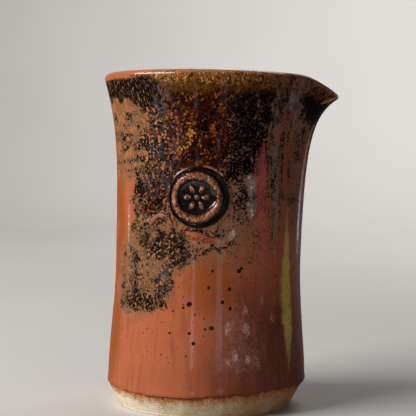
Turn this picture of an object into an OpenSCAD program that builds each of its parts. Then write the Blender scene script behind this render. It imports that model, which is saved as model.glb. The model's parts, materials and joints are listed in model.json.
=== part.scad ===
// Hand-thrown stoneware pouring jug without a handle.
// The wall is thrown round and a lip is then pulled out of the rim towards +X.
// A stamped pellet of clay is pressed into the wall a quarter turn from the lip.
// An outer coat and a liner of glaze cover the clay, and the foot stays bare.
// The origin is the middle of the foot on the table, with +Z up.

/* [Thrown body] */
// Height of the clay rim above the table
rim_h = 134.6; // [120:0.2:160]
// Outside radius of the clay at the rim
rim_r = 44.2; // [41:0.2:50]
// Outside radius of the clay at the waist
waist_r = 37.8; // [34:0.2:40]
// Height of the waist
waist_h = 81; // [65:1:95]
// Outside radius of the clay at the belly
belly_r = 40.4; // [39:0.1:44]
// Height of the belly
belly_h = 9; // [8:0.5:20]
// How sharply the wall flares to the rim
flare_power = 2.8; // [2:0.1:4]
// Height where the wall starts to swell to the belly
swell_h = 58; // [45:1:64]
// Thickness of the wall at the foot
wall_t = 5.2; // [4.4:0.1:7]
// Thickness of the wall at the rim
rim_t = 3.2; // [2.4:0.1:4.2]
// Height of the floor inside, above the table
floor_h = 6.5; // [5:0.1:9]
// Radius of the round corner between the floor and the wall
corner_r = 8; // [4:0.5:12]

/* [Turned foot] */
// Outside radius of the foot on the table
foot_r = 35.3; // [32:0.1:38]
// How sharply the bevel turns into the belly
bevel_power = 1.1; // [1.1:0.1:2]
// Softened edge where the bevel meets the table
foot_edge = 0.8; // [0.3:0.1:1.5]
// Radius of the dished hollow under the foot
hollow_r = 28; // [20:0.5:31]
// Depth of the dished hollow at its middle
hollow_depth = 1.4; // [0.6:0.1:2.5]

/* [Pulled lip] */
// How far the tip of the lip stands out past the rim
lip_reach = 9.6; // [5:0.1:14]
// How far the tip of the lip drops below the rim
lip_drop = 6.9; // [3:0.1:11]
// Half of the angle of the rim that the lip takes up
lip_half_angle = 40; // [30:1:50]
// How narrow the lip is towards its tip
lip_power = 3.5; // [2:0.1:5]
// Height where the throat below the lip starts
throat_h = 60; // [40:1:80]
// How far the throat alone stands out at the rim
throat_reach = 4; // [2:0.5:5]
// How evenly the throat swells from its start to the rim
throat_power = 1.4; // [1.1:0.1:2]
// How close to the tip the lip curls out
curl_power = 9; // [6:0.5:12]
// How close to the tip the lip turns down
drop_power = 5; // [3:0.5:8]

/* [Glaze] */
// Thickness of both coats of glaze
glaze_t = 0.4; // [0.3:0.05:0.8]
// Height of the lower edge of the outer coat
glaze_line_h = 9; // [8:0.5:20]

/* [Stamped seal] */
// Height of the middle of the seal
seal_h = 86; // [60:1:95]
// Angle of the seal from the lip, round the front of the jug
seal_angle = -96; // [-150:1:-60]
// Outside diameter of the raised ring of the seal
ring_d = 20.2; // [16:0.2:24]
// Width of the raised ring
ring_w = 3.6; // [2.6:0.1:4.2]
// Height of the ring above the floor of the seal
ring_rise = 2.3; // [1.8:0.1:2.6]
// Width of the groove round the ring
moat_w = 1; // [0.6:0.1:1.6]
// Width of the clay edge pushed up round the groove
edge_w = 0.9; // [0.5:0.1:1.4]
// How far that edge stands above the wall, in front of the middle of the seal
edge_rise = 0.6; // [0.5:0.1:1.4]
// Depth of the floor of the seal below that edge
stamp_depth = 1.1; // [0.6:0.1:1.4]
// How far the back of the seal is let into the wall all round
seat_lap = 0.3; // [0.1:0.1:0.5]
// Number of petals of the rosette
petal_count = 6; // [4:1:8]
// Diameter of a petal
petal_d = 3.2; // [2.4:0.1:3.6]
// Distance of the petals from the middle of the rosette
petal_ring_r = 4.3; // [4:0.1:4.6]
// Diameter of the bead in the middle of the rosette
bead_d = 3.6; // [2.6:0.1:4.2]
// Depth of the glass that lies in the seal
pool_depth = 0.5; // [0.3:0.1:0.8]

/* [Hidden] */
$fn = 96;

// Counts of the loft: columns round the wall and rings along each stretch
columns = 56;
crowding = 0.45;
foot_rings = 3;
outside_rings = 18;
rim_rings = 5;
inside_rings = 12;
corner_rings = 4;

// Slope of the wall at its top, as an angle from upright
rim_lean = atan(flare_power * (rim_r - waist_r) / (rim_h - waist_h));
// Middle of the round rim, and the height where it starts on the outside
rim_mid_h = rim_h - rim_t / 2;
rim_root_h = rim_mid_h - rim_t / 2 * sin(rim_lean);

// Share of the swell, which starts and ends upright
function swell(t) = t > 0 ? t * t * (3 - 2 * t) : 0;

// Outside radius of the clay at height z, away from the lip
function wall_r(z) =
    z < belly_h ? belly_r - (belly_r - foot_r) * pow(1 - z / belly_h, bevel_power)
    : z < waist_h ? waist_r + (belly_r - waist_r) * swell((swell_h - z) / (swell_h - belly_h))
    : waist_r + (rim_r - waist_r) * pow((z - waist_h) / (rim_h - waist_h), flare_power);

// Angle of the wall from upright at height z, positive where it flares
slope_step = 0.1;
function wall_lean(z) =
    z >= rim_root_h ? rim_lean : atan((wall_r(z + slope_step) - wall_r(z - slope_step)) / (2 * slope_step));

// Thickness of the clay at height z
function wall_thickness(z) = wall_t + (rim_t - wall_t) * z / rim_root_h;

rim_mid_r = wall_r(rim_root_h) - rim_t / 2 * cos(rim_lean);
corner_top_h = floor_h + corner_r;
corner_mid_r = wall_r(corner_top_h) - wall_thickness(corner_top_h) - corner_r;

// Stations along the section, as [radius, height, height that the lip pulls by].
// d is the distance of the surface from the clay, 0 for the clay itself.
function outside(z, d) =
    let (lean = wall_lean(z))
    [wall_r(z) + d * cos(lean), z - d * sin(lean), z];
function over_rim(angle, d) =
    [rim_mid_r + (rim_t / 2 + d) * cos(angle), rim_mid_h + (rim_t / 2 + d) * sin(angle),
     rim_mid_h + rim_t / 2 * sin(angle)];
function inside(z, d) =
    let (lean = wall_lean(z), depth = wall_thickness(z) + d)
    [wall_r(z) - depth * cos(lean), z + depth * sin(lean), z + wall_thickness(z) * sin(lean)];
function in_corner(angle, d) =
    [corner_mid_r + (corner_r - d) * cos(angle), corner_top_h + (corner_r - d) * sin(angle), 0];

// Heights that crowd towards both ends of a stretch
function stretch(low, high, count) =
    [for (i = [0 : count]) low + (high - low) * (1 - cos(180 * i / count)) / 2];

outside_heights = stretch(glaze_line_h, rim_root_h, outside_rings);
inside_heights = stretch(corner_top_h, rim_root_h, inside_rings);

function foot_stations() =
    [[wall_r(foot_edge) - foot_edge, 0, 0],
     for (i = [0 : foot_rings]) outside(foot_edge + (glaze_line_h - foot_edge) * i / (foot_rings + 1), 0)];
function outside_stations(d) = [for (z = outside_heights) outside(z, d)];
function rim_stations(d) = [for (i = [1 : rim_rings - 1]) over_rim(180 * i / rim_rings - rim_lean, d)];
function inside_stations(d) = [for (i = [inside_rings : -1 : 0]) inside(inside_heights[i], d)];
function corner_stations(d) = [for (i = [1 : corner_rings]) in_corner(-90 * i / corner_rings, d)];
function reversed(list) = [for (i = [len(list) - 1 : -1 : 0]) list[i]];

// Angle of a column, with the columns closer together at the lip
function column_angle(i) =
    let (even = 360 * i / columns)
    even - crowding * (180 / PI) * sin(even);

// Share of the lip's pull at an angle from +X
function lip_share(angle) =
    let (off = angle > 180 ? 360 - angle : angle)
    off < lip_half_angle ? pow(cos(90 * off / lip_half_angle), lip_power) : 0;

// A point of the wall at an angle, pulled out and down by the lip
function wall_point(angle, station) =
    let (climb = max(0, (station[2] - throat_h) / (rim_h - throat_h)),
         out = throat_reach * pow(climb, throat_power) + (lip_reach - throat_reach) * pow(climb, curl_power),
         down = lip_drop * pow(climb, drop_power),
         share = lip_share(angle),
         r = station[0] + share * out)
    [r * cos(angle), r * sin(angle), station[1] - share * down];

// Skin through the stations. A shell closes on itself, and a solid is capped at both ends.
module loft(stations, shell) {
    rings = len(stations);
    points = [for (s = stations) for (i = [0 : columns - 1]) wall_point(column_angle(i), s)];
    sides = [for (k = [0 : shell ? rings - 1 : rings - 2]) for (i = [0 : columns - 1])
        let (next = (k + 1) % rings, side = (i + 1) % columns)
        [k * columns + i, next * columns + i, next * columns + side, k * columns + side]];
    first_cap = [for (i = [0 : columns - 1]) i];
    last_cap = [for (i = [columns - 1 : -1 : 0]) (rings - 1) * columns + i];
    polyhedron(points, shell ? sides : concat([first_cap], sides, [last_cap]), convexity = 6);
}

// The seal's own frame: its middle on the wall, with +Z out of the wall
module at_seal() {
    rotate([0, 0, seal_angle])
        translate([wall_r(seal_h), 0, seal_h])
            rotate([0, 90, 0])
                children();
}

pellet_r = ring_d / 2 + moat_w + edge_w;
pellet_drop = wall_r(seal_h) - sqrt(pow(wall_r(seal_h), 2) - pow(pellet_r, 2));
seat_depth = pellet_drop + seat_lap;
stamp_floor = edge_rise - stamp_depth;
ring_mid_r = (ring_d - ring_w) / 2;
ring_crest = stamp_floor + ring_rise;

// Room for the pellet, from its seat out past the glaze
module seal_seat() {
    at_seal()
        translate([0, 0, -seat_depth])
            cylinder(h = seat_depth + ring_crest, r = pellet_r);
}

// Clay of the seal: a disc with a pushed-up edge, a rounded ring and a rosette
module stamped_clay() {
    translate([0, 0, -seat_depth])
        difference() {
            cylinder(h = seat_depth + edge_rise, r = pellet_r);
            translate([0, 0, seat_depth + stamp_floor])
                cylinder(h = stamp_depth + edge_rise, r = pellet_r - edge_w);
        }
    rotate_extrude()
        translate([ring_mid_r - ring_w / 2, stamp_floor]) {
            translate([ring_w / 2, ring_rise - ring_w / 2])
                circle(d = ring_w);
            square([ring_w, ring_rise - ring_w / 2]);
        }
    translate([0, 0, stamp_floor]) {
        rosette_bead(bead_d);
        for (i = [0 : petal_count - 1])
            rotate([0, 0, 360 * i / petal_count])
                translate([petal_ring_r, 0, 0])
                    rosette_bead(petal_d);
    }
}

// Half of a ball that stands on the floor of the seal
module rosette_bead(d) {
    intersection() {
        sphere(d = d);
        cylinder(h = d, d = 2 * d);
    }
}

module foot_hollow() {
    ball_r = (pow(hollow_r, 2) + pow(hollow_depth, 2)) / (2 * hollow_depth);
    translate([0, 0, hollow_depth - ball_r])
        sphere(r = ball_r);
}

module stoneware_body() {
    color("wheat")
        difference() {
            loft(concat(foot_stations(), outside_stations(0), rim_stations(0), inside_stations(0),
                        corner_stations(0)), false);
            foot_hollow();
            seal_seat();
        }
}

module seal_pellet() {
    color("peru")
        at_seal()
            stamped_clay();
}

module seal_pool() {
    color("black")
        at_seal()
            difference() {
                translate([0, 0, stamp_floor])
                    cylinder(h = pool_depth, r = pellet_r - edge_w);
                stamped_clay();
            }
}

module outer_glaze() {
    color("saddlebrown")
        difference() {
            loft(concat(outside_stations(glaze_t), rim_stations(glaze_t), [inside(rim_root_h, glaze_t)],
                        [inside(rim_root_h, 0)], reversed(rim_stations(0)), reversed(outside_stations(0))),
                 true);
            seal_seat();
        }
}

module liner_glaze() {
    color("maroon")
        loft(concat(reversed(corner_stations(0)), reversed(inside_stations(0)), inside_stations(glaze_t),
                    corner_stations(glaze_t)), false);
}

stoneware_body();
seal_pellet();
seal_pool();
outer_glaze();
liner_glaze();
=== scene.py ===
"""Looks of a hand-thrown stoneware pouring jug with a pulled lip and a stamped seal.

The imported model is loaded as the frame. Every piece of clay or glaze that shows is made again with
finer meshes and procedural finishes, in metres, in the same frame. The lip points along +X and the
camera stands on the side of -Y.
"""
import json
import logging
import math
import random
from dataclasses import dataclass
from enum import Enum
from typing import Any, Dict, List, Optional, Sequence, Tuple, Union

import bmesh
import bpy
import numpy as np
from mathutils import Matrix, Vector, noise

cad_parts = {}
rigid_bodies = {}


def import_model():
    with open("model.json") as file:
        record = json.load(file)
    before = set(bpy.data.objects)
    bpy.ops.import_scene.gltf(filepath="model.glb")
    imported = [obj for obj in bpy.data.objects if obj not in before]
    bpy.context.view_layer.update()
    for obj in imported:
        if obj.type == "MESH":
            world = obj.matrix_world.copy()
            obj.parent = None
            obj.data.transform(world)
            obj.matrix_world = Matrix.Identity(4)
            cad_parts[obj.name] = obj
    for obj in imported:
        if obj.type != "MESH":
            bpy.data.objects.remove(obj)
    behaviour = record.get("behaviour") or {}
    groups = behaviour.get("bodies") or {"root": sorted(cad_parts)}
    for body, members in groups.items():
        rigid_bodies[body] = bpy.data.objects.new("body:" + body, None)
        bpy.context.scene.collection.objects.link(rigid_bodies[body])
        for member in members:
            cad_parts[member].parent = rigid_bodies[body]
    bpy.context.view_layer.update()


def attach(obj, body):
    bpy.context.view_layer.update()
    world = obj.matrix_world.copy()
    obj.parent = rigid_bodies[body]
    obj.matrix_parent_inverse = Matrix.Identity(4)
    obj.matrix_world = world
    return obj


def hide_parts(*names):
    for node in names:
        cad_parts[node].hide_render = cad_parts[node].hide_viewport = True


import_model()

log = logging.getLogger("pouring_jug")

MM = 0.001
FULL_TURN = 2 * math.pi
GLAZE_WAVE = 3.0

Colour = Tuple[float, float, float, float]
Socket = bpy.types.NodeSocket
Operand = Union[int, float, "Value"]


class Slot(Enum):
    """Material slots of the record."""

    CLAY = "stoneware"
    SEAL = "seal_clay"
    POOL = "pooled_glass"
    OUTER = "outer_glaze"
    LINER = "liner_glaze"


class Side(Enum):
    """Sides of a coat of glaze, as the share of the glass detail that they take."""

    GLASS = 1.0
    CLAY = 0.0


def srgb(red: int, green: int, blue: int) -> Colour:
    """Linear colour of a screen colour.

    Args:
        red: Red, 0 to 255.
        green: Green, 0 to 255.
        blue: Blue, 0 to 255.

    Returns:
        The colour as a shader socket takes it.
    """
    def linear(part: int) -> float:
        """Linear value of one channel."""
        share = part / 255
        return share / 12.92 if share <= 0.04045 else ((share + 0.055) / 1.055) ** 2.4
    return linear(red), linear(green), linear(blue), 1.0


class Value:
    """A number socket of a node tree, on which operators add Math nodes."""

    def __init__(self, bench: "Bench", socket: Socket) -> None:
        """Keep the socket and the bench that works on its tree."""
        self.bench = bench
        self.socket = socket

    def __add__(self, other: Operand) -> "Value":
        """Sum with a number or value."""
        return self.bench.math("ADD", self, other)

    __radd__ = __add__

    def __sub__(self, other: Operand) -> "Value":
        """Difference to a number or value."""
        return self.bench.math("SUBTRACT", self, other)

    def __rsub__(self, other: Operand) -> "Value":
        """Difference of a number to this value."""
        return self.bench.math("SUBTRACT", other, self)

    def __mul__(self, other: Operand) -> "Value":
        """Product with a number or value."""
        return self.bench.math("MULTIPLY", self, other)

    __rmul__ = __mul__

    def __truediv__(self, other: Operand) -> "Value":
        """Quotient by a number or value."""
        return self.bench.math("DIVIDE", self, other)

    def __pow__(self, other: Operand) -> "Value":
        """Power to a number or value."""
        return self.bench.math("POWER", self, other)

    def __neg__(self) -> "Value":
        """The same value with its sign turned."""
        return self.bench.math("MULTIPLY", self, -1.0)

    def __abs__(self) -> "Value":
        """Size of the value."""
        return self.bench.math("ABSOLUTE", self)

    def most(self, other: Operand) -> "Value":
        """The larger of two values."""
        return self.bench.math("MAXIMUM", self, other)

    def least(self, other: Operand) -> "Value":
        """The smaller of two values."""
        return self.bench.math("MINIMUM", self, other)

    def cosine(self) -> "Value":
        """Cosine of an angle."""
        return self.bench.math("COSINE", self)

    def sine(self) -> "Value":
        """Sine of an angle."""
        return self.bench.math("SINE", self)

    def smooth(self, low: Operand, high: Operand) -> "Value":
        """Soft step from 0 at low to 1 at high, or back where low is the larger.

        Args:
            low: Where the step is 0.
            high: Where the step is 1.

        Returns:
            The step.
        """
        node = self.bench.node("ShaderNodeMapRange", {"interpolation_type": "SMOOTHSTEP"},
                               {"Value": self, "From Min": low, "From Max": high})
        return Value(self.bench, node.outputs[0])


class Bench:
    """Adds nodes to one tree of shader or geometry nodes."""

    def __init__(self, tree: bpy.types.NodeTree) -> None:
        """Take the tree that the nodes go to."""
        self.tree = tree

    def node(self, kind: str, settings: Optional[Dict[str, Any]] = None,
             sockets: Optional[Dict[Union[int, str], Any]] = None) -> bpy.types.Node:
        """Add one node.

        Args:
            kind: The node's type.
            settings: The node's own settings, set first.
            sockets: Values or links of its inputs, by name or place.

        Returns:
            The node.
        """
        node = self.tree.nodes.new(kind)
        for name, setting in (settings or {}).items():
            setattr(node, name, setting)
        for key, given in (sockets or {}).items():
            socket = node.inputs[key]
            if isinstance(given, Value):
                self.tree.links.new(given.socket, socket)
            elif isinstance(given, Socket):
                self.tree.links.new(given, socket)
            else:
                socket.default_value = given
        return node

    def math(self, operation: str, *terms: Operand) -> Value:
        """Value of one Math node."""
        node = self.node("ShaderNodeMath", {"operation": operation}, dict(enumerate(terms)))
        return Value(self, node.outputs[0])

    def vector(self, operation: str, *terms: Any) -> Socket:
        """Vector of one Vector Math node."""
        node = self.node("ShaderNodeVectorMath", {"operation": operation}, dict(enumerate(terms)))
        return node.outputs[0]

    def distance(self, first: Any, second: Any) -> Value:
        """Distance between two points."""
        node = self.node("ShaderNodeVectorMath", {"operation": "DISTANCE"}, {0: first, 1: second})
        return Value(self, node.outputs["Value"])

    def parts(self, vector: Socket) -> Tuple[Value, ...]:
        """The three parts of a vector."""
        node = self.node("ShaderNodeSeparateXYZ", None, {0: vector})
        return tuple(Value(self, part) for part in node.outputs)

    def point(self, x: Operand, y: Operand, z: Operand) -> Socket:
        """Vector of three values."""
        return self.node("ShaderNodeCombineXYZ", None, {0: x, 1: y, 2: z}).outputs[0]

    def mix(self, share: Operand, first: Any, second: Any) -> Socket:
        """Colour between two colours.

        Args:
            share: Share of the second colour.
            first: Colour where the share is 0.
            second: Colour where the share is 1.

        Returns:
            The colour's socket.
        """
        node = self.node("ShaderNodeMix", {"data_type": "RGBA"}, {0: share, 6: first, 7: second})
        return node.outputs[2]

    def layers(self, colour: Any, *coats: Tuple[Operand, Any]) -> Socket:
        """Colour with coats laid over one another.

        Args:
            colour: Colour under the coats.
            coats: Share and colour of each coat, the lowest first.

        Returns:
            The colour's socket.
        """
        for share, coat in coats:
            colour = self.mix(share, colour, coat)
        return colour

    def grain(self, place: Socket, size: float, seed: float, detail: float = 2.0,
              stretch: Tuple[float, float, float] = (1, 1, 1), rough: float = 0.5) -> Value:
        """Cloudy noise of a given size.

        Args:
            place: Coordinates of the surface.
            size: Size of the clouds, in the units of place.
            seed: Shift that sets this noise apart from others.
            detail: Number of finer layers.
            stretch: How many times longer the clouds are along each axis.
            rough: How strong the finer layers are.

        Returns:
            Noise about 0.5.
        """
        scale = tuple(1 / (size * s) for s in stretch)
        moved = self.node("ShaderNodeVectorMath", {"operation": "MULTIPLY_ADD"},
                          {0: place, 1: scale, 2: (seed, seed * 1.7, seed * 2.3)}).outputs[0]
        node = self.node("ShaderNodeTexNoise", None, {
            "Vector": moved, "Scale": 1.0, "Detail": detail, "Roughness": rough})
        return Value(self, node.outputs[0])

    def cells(self, place: Socket, size: float, seed: float) -> Tuple[Value, Value]:
        """Scattered points, one to a cell.

        Args:
            place: Coordinates of the surface.
            size: Size of a cell, in the units of place.
            seed: Shift that sets these cells apart from others.

        Returns:
            Distance to the point of the cell, in the units of place, and the cell's lot from 0 to 1.
        """
        moved = self.vector("ADD", place, (seed * 3.1, seed * 5.3, seed * 7.7))
        node = self.node("ShaderNodeTexVoronoi", None, {"Vector": moved, "Scale": 1 / size})
        lot = self.node("ShaderNodeSeparateColor", None, {0: node.outputs["Color"]})
        return Value(self, node.outputs["Distance"]) * size, Value(self, lot.outputs[0])

    def position(self) -> Socket:
        """Position of each point of a geometry."""
        return self.node("GeometryNodeInputPosition").outputs[0]

    def named(self, name: str, kind: str = "FLOAT") -> Socket:
        """What a geometry stores under a name."""
        node = self.node("GeometryNodeInputNamedAttribute", {"data_type": kind}, {"Name": name})
        return node.outputs[0]

    def keep(self, geometry: Socket, name: str, number: Operand) -> Socket:
        """Geometry whose points store a number under a name."""
        return self.node("GeometryNodeStoreNamedAttribute", {"data_type": "FLOAT", "domain": "POINT"}, {
            "Geometry": geometry, "Name": name, "Value": number}).outputs[0]

    def hand_out(self, geometry: Socket, material: Socket, smooth: bool = True) -> None:
        """End a tree of geometry nodes with real meshes in one material.

        Args:
            geometry: What the tree has made.
            material: Input that gives the material.
            smooth: Whether the faces are shaded smooth.
        """
        node = self.node("GeometryNodeRealizeInstances", None, {"Geometry": geometry})
        if smooth:
            node = self.node("GeometryNodeSetShadeSmooth", None, {"Geometry": node.outputs[0]})
        node = self.node("GeometryNodeSetMaterial", None, {
            "Geometry": node.outputs[0], "Material": material})
        self.node("NodeGroupOutput", None, {0: node.outputs[0]})


def new_tree(name: str, inputs: Dict[str, str]) -> Tuple[Bench, Any]:
    """Start a tree of geometry nodes that gives one piece.

    Args:
        name: Name of the tree.
        inputs: Kinds of its inputs, such as Float or Material, by name.

    Returns:
        The bench for the tree, and the sockets of its inputs.
    """
    tree = bpy.data.node_groups.new(name, "GeometryNodeTree")
    for label, kind in inputs.items():
        tree.interface.new_socket(label, in_out="INPUT", socket_type="NodeSocket" + kind)
    tree.interface.new_socket("Piece", in_out="OUTPUT", socket_type="NodeSocketGeometry")
    bench = Bench(tree)
    return bench, bench.node("NodeGroupInput").outputs


@dataclass(frozen=True)
class WallLaw:
    """Section of the thrown wall and pull of its lip, in metres, as the solids have them."""

    rim_h: float = 134.6 * MM
    rim_r: float = 44.2 * MM
    waist_r: float = 37.8 * MM
    waist_h: float = 81 * MM
    belly_r: float = 40.4 * MM
    belly_h: float = 9 * MM
    swell_h: float = 58 * MM
    foot_r: float = 35.3 * MM
    flare_power: float = 2.8
    bevel_power: float = 1.1
    wall_t: float = 5.2 * MM
    rim_t: float = 3.2 * MM
    floor_h: float = 6.5 * MM
    corner_r: float = 8 * MM
    foot_edge: float = 0.8 * MM
    hollow_r: float = 28 * MM
    hollow_depth: float = 1.4 * MM
    lip_reach: float = 9.6 * MM
    lip_drop: float = 6.9 * MM
    lip_half_angle: float = math.radians(40)
    lip_power: float = 3.5
    throat_h: float = 60 * MM
    throat_reach: float = 4 * MM
    throat_power: float = 1.4
    curl_power: float = 9
    drop_power: float = 5
    glaze_t: float = 0.4 * MM
    glaze_line_h: float = 9 * MM

    def radius(self, z: float) -> float:
        """Outside radius of the clay at a height, away from the lip.

        Args:
            z: Height on the thrown wall.

        Returns:
            The radius.
        """
        if z < self.belly_h:
            return self.belly_r - self.bevel_reach * (1 - z / self.belly_h) ** self.bevel_power
        if z < self.waist_h:
            drop = max(0.0, (self.swell_h - z) / (self.swell_h - self.belly_h))
            return self.waist_r + (self.belly_r - self.waist_r) * drop * drop * (3 - 2 * drop)
        rise = (z - self.waist_h) / (self.rim_h - self.waist_h)
        return self.waist_r + (self.rim_r - self.waist_r) * rise ** self.flare_power

    @property
    def bevel_reach(self) -> float:
        """How far the bevel of the foot goes in."""
        return self.belly_r - self.foot_r

    @property
    def rim_lean(self) -> float:
        """Angle of the wall from upright at the rim."""
        return math.atan(self.flare_power * (self.rim_r - self.waist_r) / (self.rim_h - self.waist_h))

    @property
    def rim_mid_h(self) -> float:
        """Height of the middle of the round rim."""
        return self.rim_h - self.rim_t / 2

    @property
    def rim_root_h(self) -> float:
        """Height where the round rim starts on the outside."""
        return self.rim_mid_h - self.rim_t / 2 * math.sin(self.rim_lean)

    @property
    def corner_top_h(self) -> float:
        """Height where the round corner of the floor ends."""
        return self.floor_h + self.corner_r

    def lean(self, z: float) -> float:
        """Angle of the wall from upright at a height, positive where it flares.

        Args:
            z: Height on the thrown wall.

        Returns:
            The angle.
        """
        if z >= self.rim_root_h:
            return self.rim_lean
        step = 0.1 * MM
        return math.atan((self.radius(z + step) - self.radius(z - step)) / (2 * step))

    def thickness(self, z: float) -> float:
        """Thickness of the clay at a height."""
        return self.wall_t + (self.rim_t - self.wall_t) * z / self.rim_root_h

    def lip_share(self, angle: float) -> float:
        """Share of the lip's pull at an angle from +X.

        Args:
            angle: The angle.

        Returns:
            The share, from 0 to 1.
        """
        off = abs(math.remainder(angle, FULL_TURN))
        narrow = math.cos(math.pi / 2 * min(1.0, off / self.lip_half_angle))
        return max(0.0, narrow) ** self.lip_power

    def on_wall(self, turn: float, z: float, depth: float = 0.0) -> Tuple[Vector, Vector]:
        """A point of the outside of the wall.

        Args:
            turn: Degrees to the right of the front.
            z: Height on the thrown wall.
            depth: Distance out of the clay.

        Returns:
            The point and the direction out of the wall.
        """
        angle = math.radians(turn - 90)
        lean = self.lean(z)
        climb = max(0.0, (z - self.throat_h) / (self.rim_h - self.throat_h))
        share = self.lip_share(angle)
        out = share * (self.throat_reach * climb ** self.throat_power
                       + (self.lip_reach - self.throat_reach) * climb ** self.curl_power)
        r = self.radius(z) + out + depth * math.cos(lean)
        level = z - share * self.lip_drop * climb ** self.drop_power - depth * math.sin(lean)
        right, ahead = math.cos(angle), math.sin(angle)
        normal = Vector((math.cos(lean) * right, math.cos(lean) * ahead, -math.sin(lean)))
        return Vector((r * right, r * ahead, level)), normal


@dataclass(frozen=True)
class Station:
    """One point of a section: its place, the height that the lip pulls by, and its side."""

    r: float
    z: float
    pull_h: float
    side: Side = Side.CLAY


@dataclass(frozen=True)
class Sections:
    """Stretches of the section that the clay and both coats share."""

    law: WallLaw

    def outside(self, z: float, d: float, side: Side = Side.CLAY) -> Station:
        """Station on the outside of the wall, d out of the clay."""
        lean = self.law.lean(z)
        return Station(self.law.radius(z) + d * math.cos(lean), z - d * math.sin(lean), z, side)

    def inside(self, z: float, d: float, side: Side = Side.CLAY) -> Station:
        """Station on the inside of the wall, d out of the clay.

        Args:
            z: Height on the thrown wall.
            d: Distance out of the clay.
            side: Side of the coat that the station is on.

        Returns:
            The station.
        """
        lean, thick = self.law.lean(z), self.law.thickness(z)
        r = self.law.radius(z) - (thick + d) * math.cos(lean)
        return Station(r, z + (thick + d) * math.sin(lean), z + thick * math.sin(lean), side)

    def rim(self, angle: float, d: float, side: Side = Side.CLAY) -> Station:
        """Station over the round rim at an angle from outwards, d out of the clay.

        Args:
            angle: The angle.
            d: Distance out of the clay.
            side: Side of the coat that the station is on.

        Returns:
            The station.
        """
        law = self.law
        mid_r = law.radius(law.rim_root_h) - law.rim_t / 2 * math.cos(law.rim_lean)
        reach = law.rim_t / 2 + d
        return Station(mid_r + reach * math.cos(angle), law.rim_mid_h + reach * math.sin(angle),
                       law.rim_mid_h + law.rim_t / 2 * math.sin(angle), side)

    def rim_arc(self, count: int, d: float, side: Side = Side.CLAY) -> List[Station]:
        """Stations over the rim, from the outside to the inside."""
        return [self.rim(math.pi * i / count - self.law.rim_lean, d, side) for i in range(1, count)]

    def corner(self, count: int, d: float, side: Side = Side.CLAY) -> List[Station]:
        """Stations round the corner of the floor, from the wall to the middle of the floor.

        Args:
            count: Number of steps round the corner.
            d: Distance out of the clay.
            side: Side of the coat that the station is on.

        Returns:
            The stations.
        """
        law = self.law
        mid_r = law.radius(law.corner_top_h) - law.thickness(law.corner_top_h) - law.corner_r
        arc = [-math.pi / 2 * i / count for i in range(1, count + 1)]
        stations = [Station(mid_r + (law.corner_r - d) * math.cos(a),
                            law.corner_top_h + (law.corner_r - d) * math.sin(a), 0.0, side) for a in arc]
        level = law.floor_h + d
        return stations + [Station(mid_r * share, level, 0.0, side) for share in (0.75, 0.5, 0.25, 0.0)]

    @staticmethod
    def upwards(low: float, high: float, count: int) -> List[float]:
        """Even heights of a stretch."""
        return [low + (high - low) * i / count for i in range(count + 1)]

    def bare_clay(self) -> List[Station]:
        """Section of the clay, from under the foot over the rim to the floor.

        Returns:
            The stations, in order.
        """
        law = self.law
        rest_r = law.radius(law.foot_edge) - law.foot_edge
        hollow = [Station(law.hollow_r * i / 12, law.hollow_depth * (1 - (i / 12) ** 2), 0.0)
                  for i in range(13)]
        ring = [Station(law.hollow_r + (rest_r - law.hollow_r) * i / 6, 0.0, 0.0) for i in range(1, 7)]
        bend = [Station(rest_r + law.foot_edge * math.sin(a), law.foot_edge * (1 - math.cos(a)), 0.0)
                for a in (math.pi / 2 * i / 6 for i in range(1, 6))]
        foot = [self.outside(z, 0) for z in self.upwards(law.foot_edge, law.glaze_line_h + 2 * MM, 26)]
        wall = [self.outside(z, 0) for z in self.upwards(law.glaze_line_h + 4 * MM, law.rim_root_h, 40)]
        inner = [self.inside(z, 0) for z in reversed(self.upwards(law.corner_top_h, law.rim_root_h, 16))]
        return hollow + ring + bend + foot + wall + self.rim_arc(6, 0) + inner + self.corner(5, 0)

    def outer_coat(self, bead: float) -> List[Station]:
        """Section of the outer coat, with a rolled edge at its foot.

        Args:
            bead: How much thicker the coat is just above its lower edge.

        Returns:
            The stations, closed on the first one.
        """
        law = self.law
        edge, roll, bead_half_h = law.glaze_line_h, 0.45 * MM, 1.3 * MM
        glass = [self.outside(edge, 0)]
        rolled = [edge + roll * s for s in (0.06, 0.2, 0.45, 0.8)]
        for z in rolled + self.upwards(edge + 0.7 * MM, law.rim_root_h, 150):
            rise = min(1.0, (z - edge) / roll)
            thick = law.glaze_t + bead * math.exp(-((z - edge - MM) / bead_half_h) ** 2)
            glass.append(self.outside(z, thick * math.sqrt(1 - (1 - rise) ** 2), Side.GLASS))
        clay = [self.outside(z, 0) for z in self.upwards(edge, law.rim_root_h, 40)]
        over = self.rim_arc(14, law.glaze_t, Side.GLASS)
        over.append(self.inside(law.rim_root_h, law.glaze_t, Side.GLASS))
        under = [self.inside(law.rim_root_h, 0)] + self.rim_arc(14, 0)[::-1]
        return glass + over + under + clay[::-1]

    def liner_coat(self) -> List[Station]:
        """Section of the liner, from the clay of the floor up and back down to its glass.

        Returns:
            The stations, in order.
        """
        law = self.law
        fine = self.upwards(law.corner_top_h, law.rim_root_h, 90)
        clay = [self.inside(z, 0) for z in self.upwards(law.corner_top_h, law.rim_root_h, 24)]
        glass = [self.inside(z, law.glaze_t, Side.GLASS) for z in reversed(fine)]
        return self.corner(5, 0)[::-1] + clay + glass + self.corner(12, law.glaze_t, Side.GLASS)


@dataclass(frozen=True)
class Throwing:
    """Marks that the hands and the glaze leave on a turned piece, in metres."""

    columns: int
    ring_pitch: float = 7.5 * MM
    ring_depth: float = 0.012 * MM
    lump_size: float = 24 * MM
    lump_depth: float = 0.35 * MM
    edge_wave: float = 0.0
    run_rise: float = 0.0
    seal_dent: float = 0.0


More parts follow.
